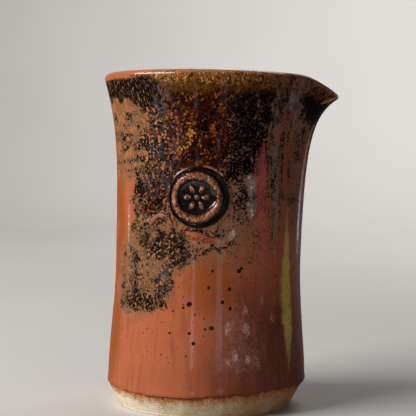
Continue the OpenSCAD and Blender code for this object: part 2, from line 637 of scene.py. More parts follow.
class ThrowingWheel:
    """Geometry Nodes tree that turns a section round the wheel and pulls the lip out of its rim."""

    FROM_LAW = {
        "Rim Height": "rim_h", "Throat Height": "throat_h", "Throat Reach": "throat_reach",
        "Lip Reach": "lip_reach", "Lip Drop": "lip_drop", "Lip Half Angle": "lip_half_angle",
        "Lip Power": "lip_power", "Throat Power": "throat_power", "Curl Power": "curl_power",
        "Drop Power": "drop_power", "Edge Height": "glaze_line_h", "Bevel Height": "belly_h",
        "Bevel Reach": "bevel_reach", "Bevel Power": "bevel_power"}
    FROM_THROWING = {
        "Ring Pitch": "ring_pitch", "Ring Depth": "ring_depth", "Lump Size": "lump_size",
        "Lump Depth": "lump_depth", "Edge Wave": "edge_wave", "Run Rise": "run_rise",
        "Seal Dent": "seal_dent"}
    FLOATS = (*FROM_LAW, *FROM_THROWING, "Run Angle", "Run Height", "Seal Radius")
    RUN_HALF_WIDTH = 2.6 * MM
    RUN_HALF_HEIGHT = 30 * MM
    EDGE_FADE = 9 * MM
    DENT_FADE = 1.4 * MM
    RIM_PLAIN = 12 * MM
    BELLY_LIFT_MM = 1.9
    BELLY_SINK_MM = 0.3
    FOOT_SHIFT_MM = -1.3
    FOOT_TOP = 9 * MM

    def __init__(self, law: WallLaw) -> None:
        """Build the tree for a wall.

        Args:
            law: The wall.
        """
        self.law = law
        bench, given = new_tree("throwing_wheel", {
            "Section": "Geometry", "Columns": "Int", **dict.fromkeys(self.FLOATS, "Float"),
            "Seal Place": "Vector", "Glaze": "Material"})
        self.tree = bench.tree
        self._wire(bench, given)

    def _sample(self, bench: Bench, section: Socket, field: Socket, ring: Value, kind: str) -> Socket:
        """Field of the section at a ring.

        Args:
            bench: Where the nodes go.
            section: The section.
            field: What is asked of it.
            ring: Number of the station.
            kind: Data type of the field.

        Returns:
            The field's value.
        """
        settings = {"data_type": kind, "domain": "POINT", "clamp": True}
        return bench.node("GeometryNodeSampleIndex", settings, {
            "Geometry": section, "Value": field, "Index": ring}).outputs[0]

    def _attribute(self, bench: Bench, section: Socket, name: str, ring: Value) -> Value:
        """Number that the section stores under a name, at a ring."""
        return Value(bench, self._sample(bench, section, bench.named(name), ring, "FLOAT"))

    def _wire(self, bench: Bench, given: Any) -> None:
        """Add the tree's nodes.

        Args:
            bench: Where the nodes go.
            given: Sockets of the tree's inputs.
        """
        size = {name: Value(bench, given[name]) for name in self.FLOATS}
        section = given["Section"]
        count = bench.node("GeometryNodeAttributeDomainSize", {"component": "MESH"}, {0: section})
        rings = Value(bench, count.outputs["Point Count"])
        columns = Value(bench, given["Columns"]) + 1
        grid = bench.node("GeometryNodeMeshGrid", None, {
            "Size X": 1.0, "Size Y": 1.0, "Vertices X": columns, "Vertices Y": rings})
        across, along, _ = bench.parts(bench.position())
        ring = bench.math("ROUND", (along + 0.5) * (rings - 1))
        angle = (across + 0.5) * FULL_TURN
        r, pull_h, z = bench.parts(self._sample(bench, section, bench.position(), ring, "FLOAT_VECTOR"))
        glass = self._attribute(bench, section, "glass", ring)
        thrown = bench.point(r * angle.cosine(), r * angle.sine(), z)

        off = angle.least(FULL_TURN - angle)
        narrow = ((off / size["Lip Half Angle"]).least(1.0) * (math.pi / 2)).cosine().most(0.0)
        share = narrow ** size["Lip Power"]
        rim_h, throat_h = size["Rim Height"], size["Throat Height"]
        climb = ((pull_h - throat_h) / (rim_h - throat_h)).most(0.0)
        curl = (size["Lip Reach"] - size["Throat Reach"]) * climb ** size["Curl Power"]
        out = share * (size["Throat Reach"] * climb ** size["Throat Power"] + curl)
        down = share * size["Lip Drop"] * climb ** size["Drop Power"]

        spiral = (z / size["Ring Pitch"] + angle / FULL_TURN) * FULL_TURN
        handled = z.smooth(9 * MM, 20 * MM) * z.smooth(rim_h, rim_h - self.RIM_PLAIN)
        marks = spiral.sine() * size["Ring Depth"] * handled
        cloud = bench.node("ShaderNodeTexNoise", None, {
            "Vector": thrown, "Scale": bench.math("DIVIDE", 1.0, size["Lump Size"]), "Detail": 1.0})
        soft = (Value(bench, cloud.outputs[0]) - 0.5) * size["Lump Depth"] * z.smooth(0.0, 12 * MM)

        ripple = glaze_ripple(bench, thrown, MM)
        edge = size["Edge Height"]
        sag = ripple * size["Edge Wave"] * z.smooth(edge + self.EDGE_FADE, edge)
        short = [(1 - height / size["Bevel Height"]).most(0.0) ** size["Bevel Power"]
                 for height in (z, z + sag)]
        inwards = (short[0] - short[1]) * size["Bevel Reach"]

        run_off = bench.math("WRAP", angle - size["Run Angle"], math.pi, -math.pi)
        run_across = abs(run_off) * r / self.RUN_HALF_WIDTH
        run_along = abs(z - size["Run Height"]) / self.RUN_HALF_HEIGHT
        run = run_across.smooth(1.3, 0.0) * run_along.smooth(1.0, 0.5) * size["Run Rise"] * glass

        near = bench.distance(thrown, given["Seal Place"])
        seal_r = size["Seal Radius"]
        dent = near.smooth(seal_r, seal_r - self.DENT_FADE) * size["Seal Dent"]

        uneven = angle.cosine().smooth(-0.7, 0.95) * self.BELLY_LIFT_MM - self.BELLY_SINK_MM
        uneven = uneven * MM * r.smooth(35.3 * MM, 37 * MM)
        uneven = uneven * z.smooth(0.0, 8 * MM) * z.smooth(32 * MM, 9 * MM)
        far = r + out + (marks + soft) * r.smooth(0.0, 20 * MM) + run + inwards - dent
        aside = (1 - (z + sag) / self.FOOT_TOP).most(0.0) * self.FOOT_SHIFT_MM * MM
        place = bench.point(far * angle.cosine() + aside, far * angle.sine(), z - down + sag + uneven)
        kept = bench.keep(grid.outputs["Mesh"], "thrown_height", pull_h.most(z))
        shaped = bench.node("GeometryNodeSetPosition", None, {"Geometry": kept, "Position": place})
        closed = bench.node("GeometryNodeMergeByDistance", None, {
            "Geometry": shaped.outputs[0], "Distance": 1e-6})
        bench.hand_out(closed.outputs[0], given["Glaze"])

    def turn(self, name: str, stations: Sequence[Station], throwing: Throwing, glaze: bpy.types.Material,
             seal: "SealPlace", run_turn: float, run_h: float) -> bpy.types.Object:
        """Turn one piece.

        Args:
            name: The piece's name.
            stations: Its section.
            throwing: Marks that it carries.
            glaze: Its material.
            seal: Place of the seal that is pressed into it.
            run_turn: Turn of the thick run of glaze, in degrees to the right of the front.
            run_h: Height of the middle of that run.

        Returns:
            The piece as a plain mesh at the origin.
        """
        section = bpy.data.meshes.new(name + "_section")
        section.from_pydata([(s.r, s.pull_h, s.z) for s in stations], [], [])
        glass = section.attributes.new("glass", "FLOAT", "POINT")
        glass.data.foreach_set("value", [s.side.value for s in stations])
        return from_nodes(name, section, self.tree, {
            **{label: getattr(self.law, field) for label, field in self.FROM_LAW.items()},
            **{label: getattr(throwing, field) for label, field in self.FROM_THROWING.items()},
            "Run Angle": math.radians(run_turn - 90) % FULL_TURN, "Run Height": run_h,
            "Seal Radius": seal.dent_r, "Seal Place": tuple(seal.middle),
            "Columns": throwing.columns, "Glaze": glaze})


def glaze_ripple(bench: Bench, place: Socket, unit: float) -> Value:
    """Wander of the glaze's lower edge round the foot.

    Args:
        bench: Where the nodes go.
        place: Coordinates of the surface.
        unit: One millimetre in the units of place.

    Returns:
        Wander about 0.
    """
    level = bench.vector("MULTIPLY", place, (1, 1, 0))
    x, y, _ = bench.parts(place)
    ahead = ((x * -0.5 + y * -0.87) / (40 * unit)).smooth(0.8, 1.0)
    wander = bench.grain(level, 13 * unit, 3.0, 3.0) + bench.grain(level, 3.5 * unit, 6.0, 2.0) * 0.4
    return wander - 0.66 - ahead * 0.24


def from_nodes(name: str, base: bpy.types.Mesh, tree: bpy.types.NodeTree,
               values: Dict[str, Any]) -> bpy.types.Object:
    """Run a Geometry Nodes tree once and keep its result as a plain mesh.

    Args:
        name: Name of the piece.
        base: Mesh that the tree works on.
        tree: The tree.
        values: Its inputs, by name.

    Returns:
        The piece, with no modifier.
    """
    carrier = bpy.data.objects.new(name + "_base", base)
    bpy.context.scene.collection.objects.link(carrier)
    modifier = carrier.modifiers.new("shape", "NODES")
    modifier.node_group = tree
    for item in tree.interface.items_tree:
        if item.name in values:
            modifier[item.identifier] = values[item.name]
    graph = bpy.context.evaluated_depsgraph_get()
    mesh = bpy.data.meshes.new_from_object(carrier.evaluated_get(graph), depsgraph=graph)
    carrier.modifiers.remove(modifier)
    bpy.data.objects.remove(carrier)
    return add_piece(name, mesh)


def add_piece(name: str, mesh: bpy.types.Mesh) -> bpy.types.Object:
    """Add a mesh to the scene as a piece at the origin.

    Args:
        name: Name of the piece and its mesh.
        mesh: Its mesh, in place.

    Returns:
        The piece.
    """
    mesh.name = name
    piece = bpy.data.objects.new(name, mesh)
    bpy.context.scene.collection.objects.link(piece)
    return piece


def hand_over(piece: bpy.types.Object, slot: Slot, *nodes: str) -> None:
    """Fix a piece to the jug and say what it stands for.

    Args:
        piece: The piece.
        slot: Not used.
        nodes: Solids that it replaces.
    """
    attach(piece, "root")
    if nodes:
        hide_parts(*nodes)
    stands_for = ", ".join(nodes) or "nothing"
    log.info("%s: %d faces, replaces %s", piece.name, len(piece.data.polygons), stands_for)


@dataclass(frozen=True)
class GlazePatch:
    """A soft-edged stretch of the wall that one glaze covers, in degrees and millimetres.

    The slant is the turn that the patch gains for each millimetre upwards.
    """

    turn: float
    height: float
    half_turn: float
    half_height: float
    cover: float = 1.0
    soft: float = 0.4
    slant: float = 0.0
    BEND = 2.3

    def mask(self, turn: Value, height: Value) -> Value:
        """Share of this glaze at a place on the wall.

        Args:
            turn: Degrees to the right of the front.
            height: Height on the thrown wall.

        Returns:
            The share, from 0 to the patch's cover.
        """
        up = height - self.height
        off = turn - self.turn - up * self.slant if self.slant else turn - self.turn
        across = abs(turn.bench.math("WRAP", off, 180.0, -180.0)) / self.half_turn
        up = abs(up) / self.half_height
        outside, inside = (1 + self.soft) ** self.BEND, (1 - self.soft) ** self.BEND
        return (across ** self.BEND + up ** self.BEND).smooth(outside, inside) * self.cover


def patches(*rows: Tuple[float, ...]) -> Tuple[GlazePatch, ...]:
    """Patches from rows of turn, height, half turn, half height, cover, softness and slant."""
    return tuple(GlazePatch(*row) for row in rows)


def widest(spread: Sequence[GlazePatch], turn: Value, height: Value) -> Value:
    """Share of a glaze that several patches carry.

    Args:
        spread: The patches.
        turn: Degrees to the right of the front.
        height: Height on the thrown wall.

    Returns:
        The largest of their shares.
    """
    share = spread[0].mask(turn, height)
    for patch in spread[1:]:
        share = share.most(patch.mask(turn, height))
    return share


@dataclass(frozen=True)
class Look:
    """What a finish feeds to its shader."""

    colour: Socket
    rough: Value
    relief: Value
    coat: Optional[Value] = None


class Finish:
    """A material with one shader, whose look a subclass works out."""

    name = "finish"
    coat = 0.0
    coat_rough = 0.05
    gloss = 0.5
    relief_depth = 0.1 * MM

    def material(self) -> bpy.types.Material:
        """Build the material.

        Returns:
            The material.
        """
        material = bpy.data.materials.new(self.name)
        material.use_nodes = True
        material.node_tree.nodes.clear()
        bench = Bench(material.node_tree)
        look = self.look(bench)
        bump = bench.node("ShaderNodeBump", None, {
            "Strength": 1.0, "Distance": self.relief_depth, "Height": look.relief})
        shader = bench.node("ShaderNodeBsdfPrincipled", None, {
            "Base Color": look.colour, "Roughness": look.rough, "Normal": bump.outputs[0],
            "Specular IOR Level": self.gloss, "Coat Weight": look.coat or self.coat,
            "Coat Roughness": self.coat_rough})
        bench.node("ShaderNodeOutputMaterial", None, {"Surface": shader.outputs[0]})
        return material

    def look(self, bench: Bench) -> Look:
        """Colour, roughness and relief of the finish, and its coat where that varies."""
        raise NotImplementedError

    @staticmethod
    def place(bench: Bench) -> Socket:
        """Coordinates of the surface in millimetres."""
        spot = bench.node("ShaderNodeTexCoord").outputs["Object"]
        return bench.vector("MULTIPLY", spot, (1000, 1000, 1000))

    @staticmethod
    def stored(bench: Bench, name: str) -> Value:
        """Number that the piece's mesh stores under a name."""
        return Value(bench, bench.node("ShaderNodeAttribute", {"attribute_name": name}).outputs["Fac"])


class GlazeField:
    """Coordinates on the wall, in degrees and millimetres, and noises that the layers of glaze share."""

    def __init__(self, bench: Bench, place: Socket, height: Value) -> None:
        """Add the nodes of the coordinates and noises.

        Args:
            bench: Where the nodes go.
            place: Coordinates of the surface, in millimetres.
            height: Height on the thrown wall.
        """
        x, y, _ = bench.parts(place)
        self.bench, self.place, self.height = bench, place, height
        self.turn = bench.math("ARCTAN2", x, -y) * math.degrees(1)
        self.drift = bench.grain(place, 5, 1.0, 3.0) - 0.5
        self.creep = bench.grain(place, 5, 5.0, 3.0) - 0.5
        self.swing = bench.grain(place, 14, 20.0, 1.0) - 0.5
        self.turn_w = self.turn + self.drift * 16 + self.swing * 12
        self.height_w = height + self.creep * 10 * height.smooth(132, 122)
        self.streak = bench.grain(place, 2.4, 2.0, 3.0, (1, 1, 9))
        self.thread = bench.grain(place, 0.6, 17.0, 2.0, (1, 1, 5))
        self.ribbon = bench.grain(place, 1.7, 12.0, 3.0, (1, 1, 14))
        self.cloud = bench.grain(place, 20, 4.0, 2.0)
        self.lace = bench.grain(place, 4.0, 7.0, 4.0, (1.4, 1.4, 1), 0.8)
        self.crumb = bench.grain(place, 1.0, 19.0, 3.0, rough=0.65)
        self.salt = bench.grain(place, 0.75, 16.0, 1.0)
        self.blot = bench.grain(place, 1.6, 9.0, 3.0, rough=0.6)
        self.band = bench.grain(place, 2.0, 8.0, 2.0, (7, 7, 1))
        self.fleck = bench.grain(place, 1.2, 11.0, 2.0)

    def share(self, spread: Sequence[GlazePatch]) -> Value:
        """Share of a glaze whose patches have ragged edges."""
        return widest(spread, self.turn_w, self.height_w)

    def drip(self, spread: Sequence[GlazePatch]) -> Value:
        """Share of a glaze whose patches run straight down the wall."""
        return widest(spread, self.turn + self.drift * 3, self.height)

    def dab(self, spread: Sequence[GlazePatch]) -> Value:
        """Share of a glaze that lies in small dabs."""
        return widest(spread, self.turn + self.drift * 4, self.height + self.creep * 4)


@dataclass(frozen=True)
class OuterGlaze(Finish):
    """Iron glaze of the outside: rust-red ground, tan and black speckle, amber and olive runs."""

    name: str = "outer_glaze"
    coat: float = 0.12
    coat_rough: float = 0.1
    gloss: float = 0.0
    relief_depth: float = 0.16 * MM
    rust: Colour = srgb(175, 96, 64)
    ember: Colour = srgb(149, 75, 28)
    # Brick-red of the glaze streaks; the same colour lays painted shade on the lower right.
    brick_and_shade: Colour = srgb(117, 54, 36)
    tan: Colour = srgb(130, 89, 61)
    khaki: Colour = srgb(108, 88, 62)
    umber: Colour = srgb(158, 104, 74)
    ash: Colour = srgb(152, 126, 106)
    # Black of the speckle and the iron specks; it also lays painted shade under the lip.
    soot_and_shade: Colour = srgb(17, 8, 6)
    bistre: Colour = srgb(92, 62, 44)
    oxblood: Colour = srgb(60, 15, 10)
    cinder: Colour = srgb(164, 90, 38)
    amber: Colour = srgb(206, 138, 34)
    olive: Colour = srgb(106, 70, 15)
    # Yellow olive of the run down the side; the same colour lays a painted highlight along the lip.
    moss_and_lip_highlight: Colour = srgb(236, 200, 92)
    plum: Colour = srgb(204, 100, 94)
    # Blue-grey in the black speckle; at turn -27, height 53 it lays a painted reflection.
    slate_and_sheen: Colour = srgb(80, 72, 76)
    # Pale grey of glaze drips and of a painted reflection streak.
    mist_and_sheen: Colour = srgb(168, 154, 148)
    # Bright orange that lays a painted fill light on the right side.
    fill_copper: Colour = srgb(214, 114, 72)
    pumice: Colour = srgb(138, 108, 90)
    chestnut: Colour = srgb(176, 100, 48)
    crest: Colour = srgb(190, 118, 76)
    cream: Colour = srgb(232, 186, 122)
    # Pale white of the real white specks; the same colour lays painted glints.
    milk_and_glint: Colour = srgb(232, 214, 198)
    # Pale pinkish white of the painted sheen and the painted reflection spots.
    sheen_tint: Colour = srgb(226, 196, 182)
    rim_h: float = 134.6

    # Patches of black speckle; the one at turn 74.5, height 125 is partly dark glaze and partly painted
    # shade under the lip.
    SOOT_AND_LIP_SHADE = patches(
        (-60, 127.6, 28, 4.1, 1.1, 0.3), (-37, 126.2, 13, 6.2, 1.0, 0.4), (-25, 112, 10, 18, 0.95, 0.7),
        (-50, 112, 32, 15, 0.16, 0.5), (-52, 116.2, 32, 1.3, 0.44, 0.7),
        (-46, 108.4, 34, 4.6, 0.5, 0.5), (-40, 98, 28, 4.2, 0.46, 0.6), (-25, 97, 10, 8, 1.0, 0.7),
        (-4, 113, 19, 20, 0.95, 0.3), (19, 114, 18, 20, 0.84, 0.7), (25, 117, 8, 9, 0.9, 0.7),
        (54, 116, 32, 21, 0.42, 0.4), (74.5, 125, 12, 5.4, 1.5, 0.75), (5, 66.6, 9, 0.9, 0.6, 0.6),
        (-3, 72.6, 13, 1.5, 0.6, 0.6), (-27, 86, 9, 9, 0.85, 0.6), (46, 128, 4, 9, 0.75, 0.5),
        (76, 130.5, 14, 3, 0.46, 0.5), (36, 126, 9, 7, 0.7, 0.6), (18, 92, 17, 9, 0.48, 0.6),
        (23, 85, 9, 8, 0.62, 0.7), (14, 71, 28, 10, 0.3, 0.7), (52, 88, 22, 16, 0.32, 0.6),
        (-35, 89, 14, 10, 0.88, 0.6), (-36, 83, 13, 4.5, 0.72, 0.8), (-42, 60, 20, 20, 0.5, 0.3, 0.5),
        (-27, 66.5, 15, 5.5, 0.8, 0.8), (-44, 45, 17, 3.2, 0.8, 0.7), (-29, 52, 6, 5, 0.8, 0.7),
        (108, 120, 34, 13, 0.85), (158, 114, 36, 20, 0.92), (-128, 125, 46, 6, 0.9),
        (-150, 102, 34, 16, 0.55, 0.5), (150, 88, 22, 16, 0.6, 0.6, 0.4),
        (134, 66, 14, 18, 0.5, 0.5, 0.6), (-133, 86, 14, 12, 0.5, 0.6, 0.7),
        (-122, 60, 16, 16, 0.48, 0.5, 0.8), (-116, 47, 12, 3, 0.6, 0.7), (-166, 82, 9, 12, 0.45, 0.7))
    SAND = patches(
        (-52, 110, 33, 17, 1.0), (-41, 60, 24, 21, 0.9, 0.3, 0.4), (-36, 88, 18, 10, 0.7),
        (-146, 100, 38, 22, 0.9, 0.5), (142, 76, 28, 26, 0.8, 0.5, 0.4),
        (-124, 66, 24, 24, 0.8, 0.5, 0.8))
    DRAB = patches(
        (18, 88, 20, 18, 0.8, 0.9), (54, 116, 30, 20, 1.0, 0.6), (56, 86, 24, 16, 0.4, 0.8),
        (112, 112, 38, 26, 0.9))
    CORE = patches(
        (-5, 113, 17, 19, 1.0), (-33, 83, 14, 5, 0.6), (-26, 91, 9, 9, 0.7), (160, 112, 30, 18, 0.9))
    GOLD = patches(
        (-11.3, 110.5, 2.3, 6.5, 1.0, 0.6), (-14, 105.8, 5, 1.3, 1.0, 0.6), (-6, 122, 13, 6, 0.5),
        (-2, 101, 14, 4, 0.45), (6, 114, 10, 12, 0.35), (164, 112, 12, 12, 0.9))
    OLIVE_BAND = patches((-1, 130.6, 22, 4.0, 0.85, 0.6), (150, 131, 30, 5.5, 0.9))
    FLECKED_RIM = patches((2, 133.2, 28, 3.0, 0.9, 0.5), (150, 133.4, 40, 3.2, 0.8))
    EMBER_STRIP = patches((-76, 54, 14, 51, 1.0), (1, 53, 12, 11, 0.7), (-98, 40, 16, 32, 0.6))
    PLUM_STREAK = patches(
        (31.5, 90, 2.8, 10, 1.0, 0.8), (31.8, 99, 1.2, 7, 1.0, 0.6), (33, 68, 4, 16, 0.3, 0.8))
    # Painted shade: dark red-brown laid over the lower right and the back right, away from the key lamp.
    PAINTED_SHADE = patches((44, 13, 36, 32, 0.94, 0.6), (120, 40, 44, 40, 0.5))
    # Blue-grey patches in the black speckle; the one at turn -27, height 53 is a painted reflection.
    SLATE_AND_SHEEN = patches(
        (-27, 53, 5, 5, 1.0), (-26, 124, 6, 8, 0.9), (-26, 108, 9, 14, 0.6), (-34, 92, 9, 6, 0.7),
        (18, 80, 9, 6, 0.45))
    # Pale grey drips; the streak at turns 41 to 43, heights 66 to 110, is a painted reflection streak.
    MIST_AND_SHEEN_DRIPS = patches(
        (-7.4, 100, 0.8, 4, 0.1, 0.8), (5, 101, 0.9, 8, 0.1, 0.8), (39, 120, 3.0, 14, 0.24, 0.8),
        (49, 127, 2.2, 5, 1.0, 0.7), (55, 122, 1.3, 9, 0.9, 0.7), (43, 82, 1.5, 16, 0.7, 0.7),
        (63, 90, 1.8, 10, 0.3, 0.8, 0.3), (41, 104, 1.7, 6, 0.55, 0.8))
    STREAKED = patches((56, 106, 30, 34, 1.0), (36, 60, 14, 36, 0.5), (115, 90, 36, 50, 0.8))
    BANDED = patches((-55, 109, 30, 18, 1.0), (-140, 108, 36, 18, 1.0))
    BROWN_RIM = patches(
        (36, 131.8, 22, 3.4, 0.9, 0.5), (76, 131.2, 18, 3.6, 1.0, 0.5), (105, 131.5, 30, 4, 0.8, 0.5))
    # Painted highlight: a thin yellow-olive line along the crease under the lip.
    LIP_HIGHLIGHT = patches((82.0, 130.4, 1.1, 3.0, 1.0, 0.6, 1.3))
    # Painted fill light: patches on the right side laid brighter and more orange.
    PAINTED_FILL = patches((60, 103, 16, 15, 0.4, 0.8), (42, 72, 12, 18, 0.6, 0.8), (33, 88, 5, 14, 0.5, 0.8))
    # Painted sheen: a faint pale haze over the lower right that lifts the shaded side.
    PAINTED_SHEEN = patches((21, 30, 15, 12, 0.09, 0.8), (50, 40, 18, 30, 0.07, 0.8))
    # Painted reflections: small pale hazy spots low on the front right.
    PAINTED_SHEEN_SPOTS = patches(
        (11.8, 36, 1.4, 1.6, 0.7, 1.0), (22.8, 35.6, 1.5, 1.6, 1.0, 1.0),
        (22.4, 43, 1.1, 1.1, 0.8, 1.0), (16, 24.6, 1.4, 1.4, 1.0, 1.0), (23.6, 23, 1.4, 1.4, 0.8, 1.0),
        (11.5, 23, 1.4, 1.2, 0.6, 1.0), (29, 22, 1.8, 2.0, 0.5, 1.0), (40.5, 39.6, 1.2, 1.2, 0.6, 1.0),
        (33, 46.5, 1.0, 1.4, 0.4, 1.0), (18, 36, 6, 4, 0.22, 0.9), (20, 24, 8, 4, 0.26, 0.9))
    # Painted glints: pale white spots beside the seal and a thin painted highlight line on the left.
    PAINTED_GLINTS = patches(
        (24.5, 91, 2.2, 3.0, 1.0, 0.6), (25.5, 82, 2.4, 3.4, 0.8, 0.6), (13, 72, 1.4, 1.4, 0.8, 0.6),
        (-56.6, 74, 0.8, 6, 0.6, 0.8))
    RUN_TURN = 54.2
    RUN_H = 46.0

    def look(self, bench: Bench) -> Look:
        """Lay the glazes over one another.

        Args:
            bench: Where the nodes go.

        Returns:
            Colour, roughness, relief and coat.
        """
        field = GlazeField(bench, self.place(bench), self.stored(bench, "thrown_height") * 1000)
        sand, drab = field.share(self.SAND), field.share(self.DRAB)
        colour = self.ground(field, sand, drab)
        colour, soot_and_shade = self.speckle(field, colour, sand, drab)
        colour = self.drips(field, colour, soot_and_shade)
        colour = self.rim_band(field, colour)
        colour, speck = self.specks(field, colour)
        top = field.height.smooth(self.rim_h - 1.2, self.rim_h - 0.3)
        worn = (field.salt * 0.5 + field.blot * 0.5).smooth(0.36, 0.5) * 0.75
        colour = bench.mix(top * worn, colour, self.crest)
        haze = bench.grain(field.place, 6, 13.0, 3.0).smooth(0.5, 0.75)
        rough = 0.2 - soot_and_shade * 0.04 + haze * 0.1 - top * 0.06
        relief = soot_and_shade * 0.5 + field.lace * 1.2 + field.blot * 0.3 + speck * 0.4
        gleam = field.height.smooth(self.rim_h - 2.2, self.rim_h - 1.1) * 0.9
        gleam = gleam + field.turn.smooth(30, 64) * 0.02
        return Look(colour, rough, relief, self.coat - field.height.smooth(76, 98) * 0.09 + gleam)

    def ground(self, field: GlazeField, sand: Value, drab: Value) -> Socket:
        """Rust ground with the plain glazes that shade into it, and painted shade and fill light on the
        right.

        Args:
            field: Coordinates and noises.
            sand: Share of the tan glaze.
            drab: Share of the brown glaze.

        Returns:
            The colour.
        """
        bench, streak = field.bench, field.streak
        ember = widest(self.EMBER_STRIP, field.turn + field.drift * 8, field.height)
        streaked = widest(self.STREAKED, field.turn, field.height)
        running = (0.5 + streak * 0.9).least(1.0)
        return bench.layers(
            self.rust,
            (streak.smooth(0.45, 0.75) * 0.35, self.brick_and_shade),
            (field.lace.smooth(0.5, 0.66) * 0.22, self.crest),
            (ember * field.cloud.smooth(0.15, 0.5), self.ember),
            # Painted shade over the lower right.
            (field.share(self.PAINTED_SHADE) * running, self.brick_and_shade),
            (sand * field.blot.smooth(0.3, 0.5), self.tan),
            (sand * (field.drift + 0.5).smooth(0.52, 0.56) * 0.45, self.crest),
            (drab * running, self.umber),
            (drab * streaked * field.ribbon.smooth(0.5, 0.64) * 0.8, self.ash),
            (streaked * (field.ribbon * 0.5 + streak * 0.5).smooth(0.46, 0.36) * 0.7, self.rust),
            # Painted fill light on the right side.
            (field.share(self.PAINTED_FILL) * (0.3 + field.ribbon * 0.8).least(1.0), self.fill_copper))

    def speckle(self, field: GlazeField, colour: Socket, sand: Value,
                drab: Value) -> Tuple[Socket, Value]:
        """Black speckle with khaki halos, the dark core with its amber flecks, and painted shade under
        the lip.

        Args:
            field: Coordinates and noises.
            colour: Colour under the speckle.
            sand: Share of the tan glaze.
            drab: Share of the brown glaze.

        Returns:
            The colour and the share of the black, painted shade under the lip included.
        """
        bench, lace, salt, blot, height = field.bench, field.lace, field.salt, field.blot, field.height
        # Black speckle, with painted shade under the lip.
        cover = field.share(self.SOOT_AND_LIP_SHADE)
        banded = widest(self.BANDED, field.turn, height)
        streaked = widest(self.STREAKED, field.turn, height)
        cell = 0.95
        near, _ = bench.cells(field.place, cell, 4.0)
        wild = (lace - 0.5) * 2.0 + (0.5 - near / cell) * 0.7 + (field.band - 0.5) * banded * 1.3
        wild = wild + (field.streak + field.ribbon - 1.0) * streaked * 1.2
        wild = wild + (bench.grain(field.place, 6, 31.0, 2.0) - 0.5) * sand * (1.2 - banded * 0.5)
        level = cover - 0.5 + wild + (salt - 0.5) * drab * 0.8
        soot_and_shade = level.smooth(-0.1, 0.15)
        core = field.share(self.CORE)
        low = core * height.smooth(99, 92)

        warm = sand * (field.creep + (salt - 0.5) * 0.3).smooth(-0.05, 0.1) * level.smooth(0.45, 0.2)
        dark = bench.layers(
            self.soot_and_shade,
            (core * lace.smooth(0.46, 0.6), self.oxblood),
            # Blue-grey, a painted reflection at turn -27, height 53.
            (field.share(self.SLATE_AND_SHEEN) * blot.smooth(0.42, 0.6) * 0.75, self.slate_and_sheen),
            (warm * 0.7, self.bistre))
        pale = bench.layers(
            self.khaki, (drab, self.pumice), (core * height.smooth(92, 99), self.cinder))
        halo = (level + (salt - 0.5) * 0.9).smooth(-0.3, -0.08) * cover.smooth(0.08, 0.4)
        colour = bench.layers(
            colour,
            (sand * field.thread.smooth(0.55, 0.66) * 0.5, self.umber),
            (halo * (0.8 - core * 0.1 - low * 0.4), pale),
            (soot_and_shade, dark))

        upper = height.smooth(100, 134) * 0.16
        open_up = (field.drift + field.creep * 0.5 + upper).smooth(-0.04, 0.12)
        rich = (core - low * 0.7) * (field.crumb * 0.6 + blot * 0.4).smooth(0.515, 0.6) * open_up
        rain = field.thread.smooth(0.565, 0.66) * height.smooth(119, 123)
        rain = rain * field.turn.smooth(10, -20) * (1 - core)
        blob = field.fleck.smooth(0.57, 0.63) * sand * height.smooth(124, 119)
        dots = salt.smooth(0.57, 0.65) * (0.8 - core * 0.5) * (1.4 - cover)
        peep = (dots + rain + rich + blob).least(1.0)
        shown = bench.layers(pale, (rain.least(1.0), self.tan), (blob.least(1.0), self.crest))

        gold = widest(self.GOLD, field.turn + field.drift * 12, field.height_w)
        bar = 0.76 - gold * 0.25
        flecks = (field.fleck * 0.4 + field.crumb * 0.6).smooth(bar, bar + 0.05) * gold.smooth(0.05, 0.3)
        return bench.layers(colour, (soot_and_shade * peep, shown), (flecks, self.amber)), soot_and_shade

    def drips(self, field: GlazeField, colour: Socket, soot_and_shade: Value) -> Socket:
        """Streaks that run down the wall, some of them painted reflections, with painted sheen and
        glints.

        Args:
            field: Coordinates and noises.
            colour: Colour under the streaks.
            soot_and_shade: Share of the black speckle, painted shade under the lip included.

        Returns:
            The colour.
        """
        bench = field.bench
        # Pale grey drips, one of them a painted reflection streak.
        mist_and_sheen = field.drip(self.MIST_AND_SHEEN_DRIPS) * (field.thread * 0.5 + field.blot * 0.6).smooth(0.44, 0.66)
        # Painted reflection spots and painted sheen on the lower right.
        spot_break = (field.salt * 0.6 + field.crumb * 0.4).smooth(0.44, 0.62)
        sheen_spots = field.dab(self.PAINTED_SHEEN_SPOTS) * (0.2 + spot_break * 0.75)
        haze = field.share(self.PAINTED_SHEEN) * field.blot.smooth(0.2, 0.7)
        # Dots of the painted glints.
        near, lot = bench.cells(field.place, 1.7, 6.0)
        dots = near.smooth(0.9, 0.3) * lot.smooth(0.2, 0.4) * 0.8 + 0.3
        return bench.layers(
            colour,
            (field.drip(self.PLUM_STREAK) * (0.95 - soot_and_shade * 0.3), self.plum),
            (mist_and_sheen, self.mist_and_sheen),
            (self.run(field), self.moss_and_lip_highlight),
            # Painted sheen and painted reflection spots.
            (haze.most(sheen_spots), self.sheen_tint),
            # Painted glints.
            (field.dab(self.PAINTED_GLINTS) * dots, self.milk_and_glint))

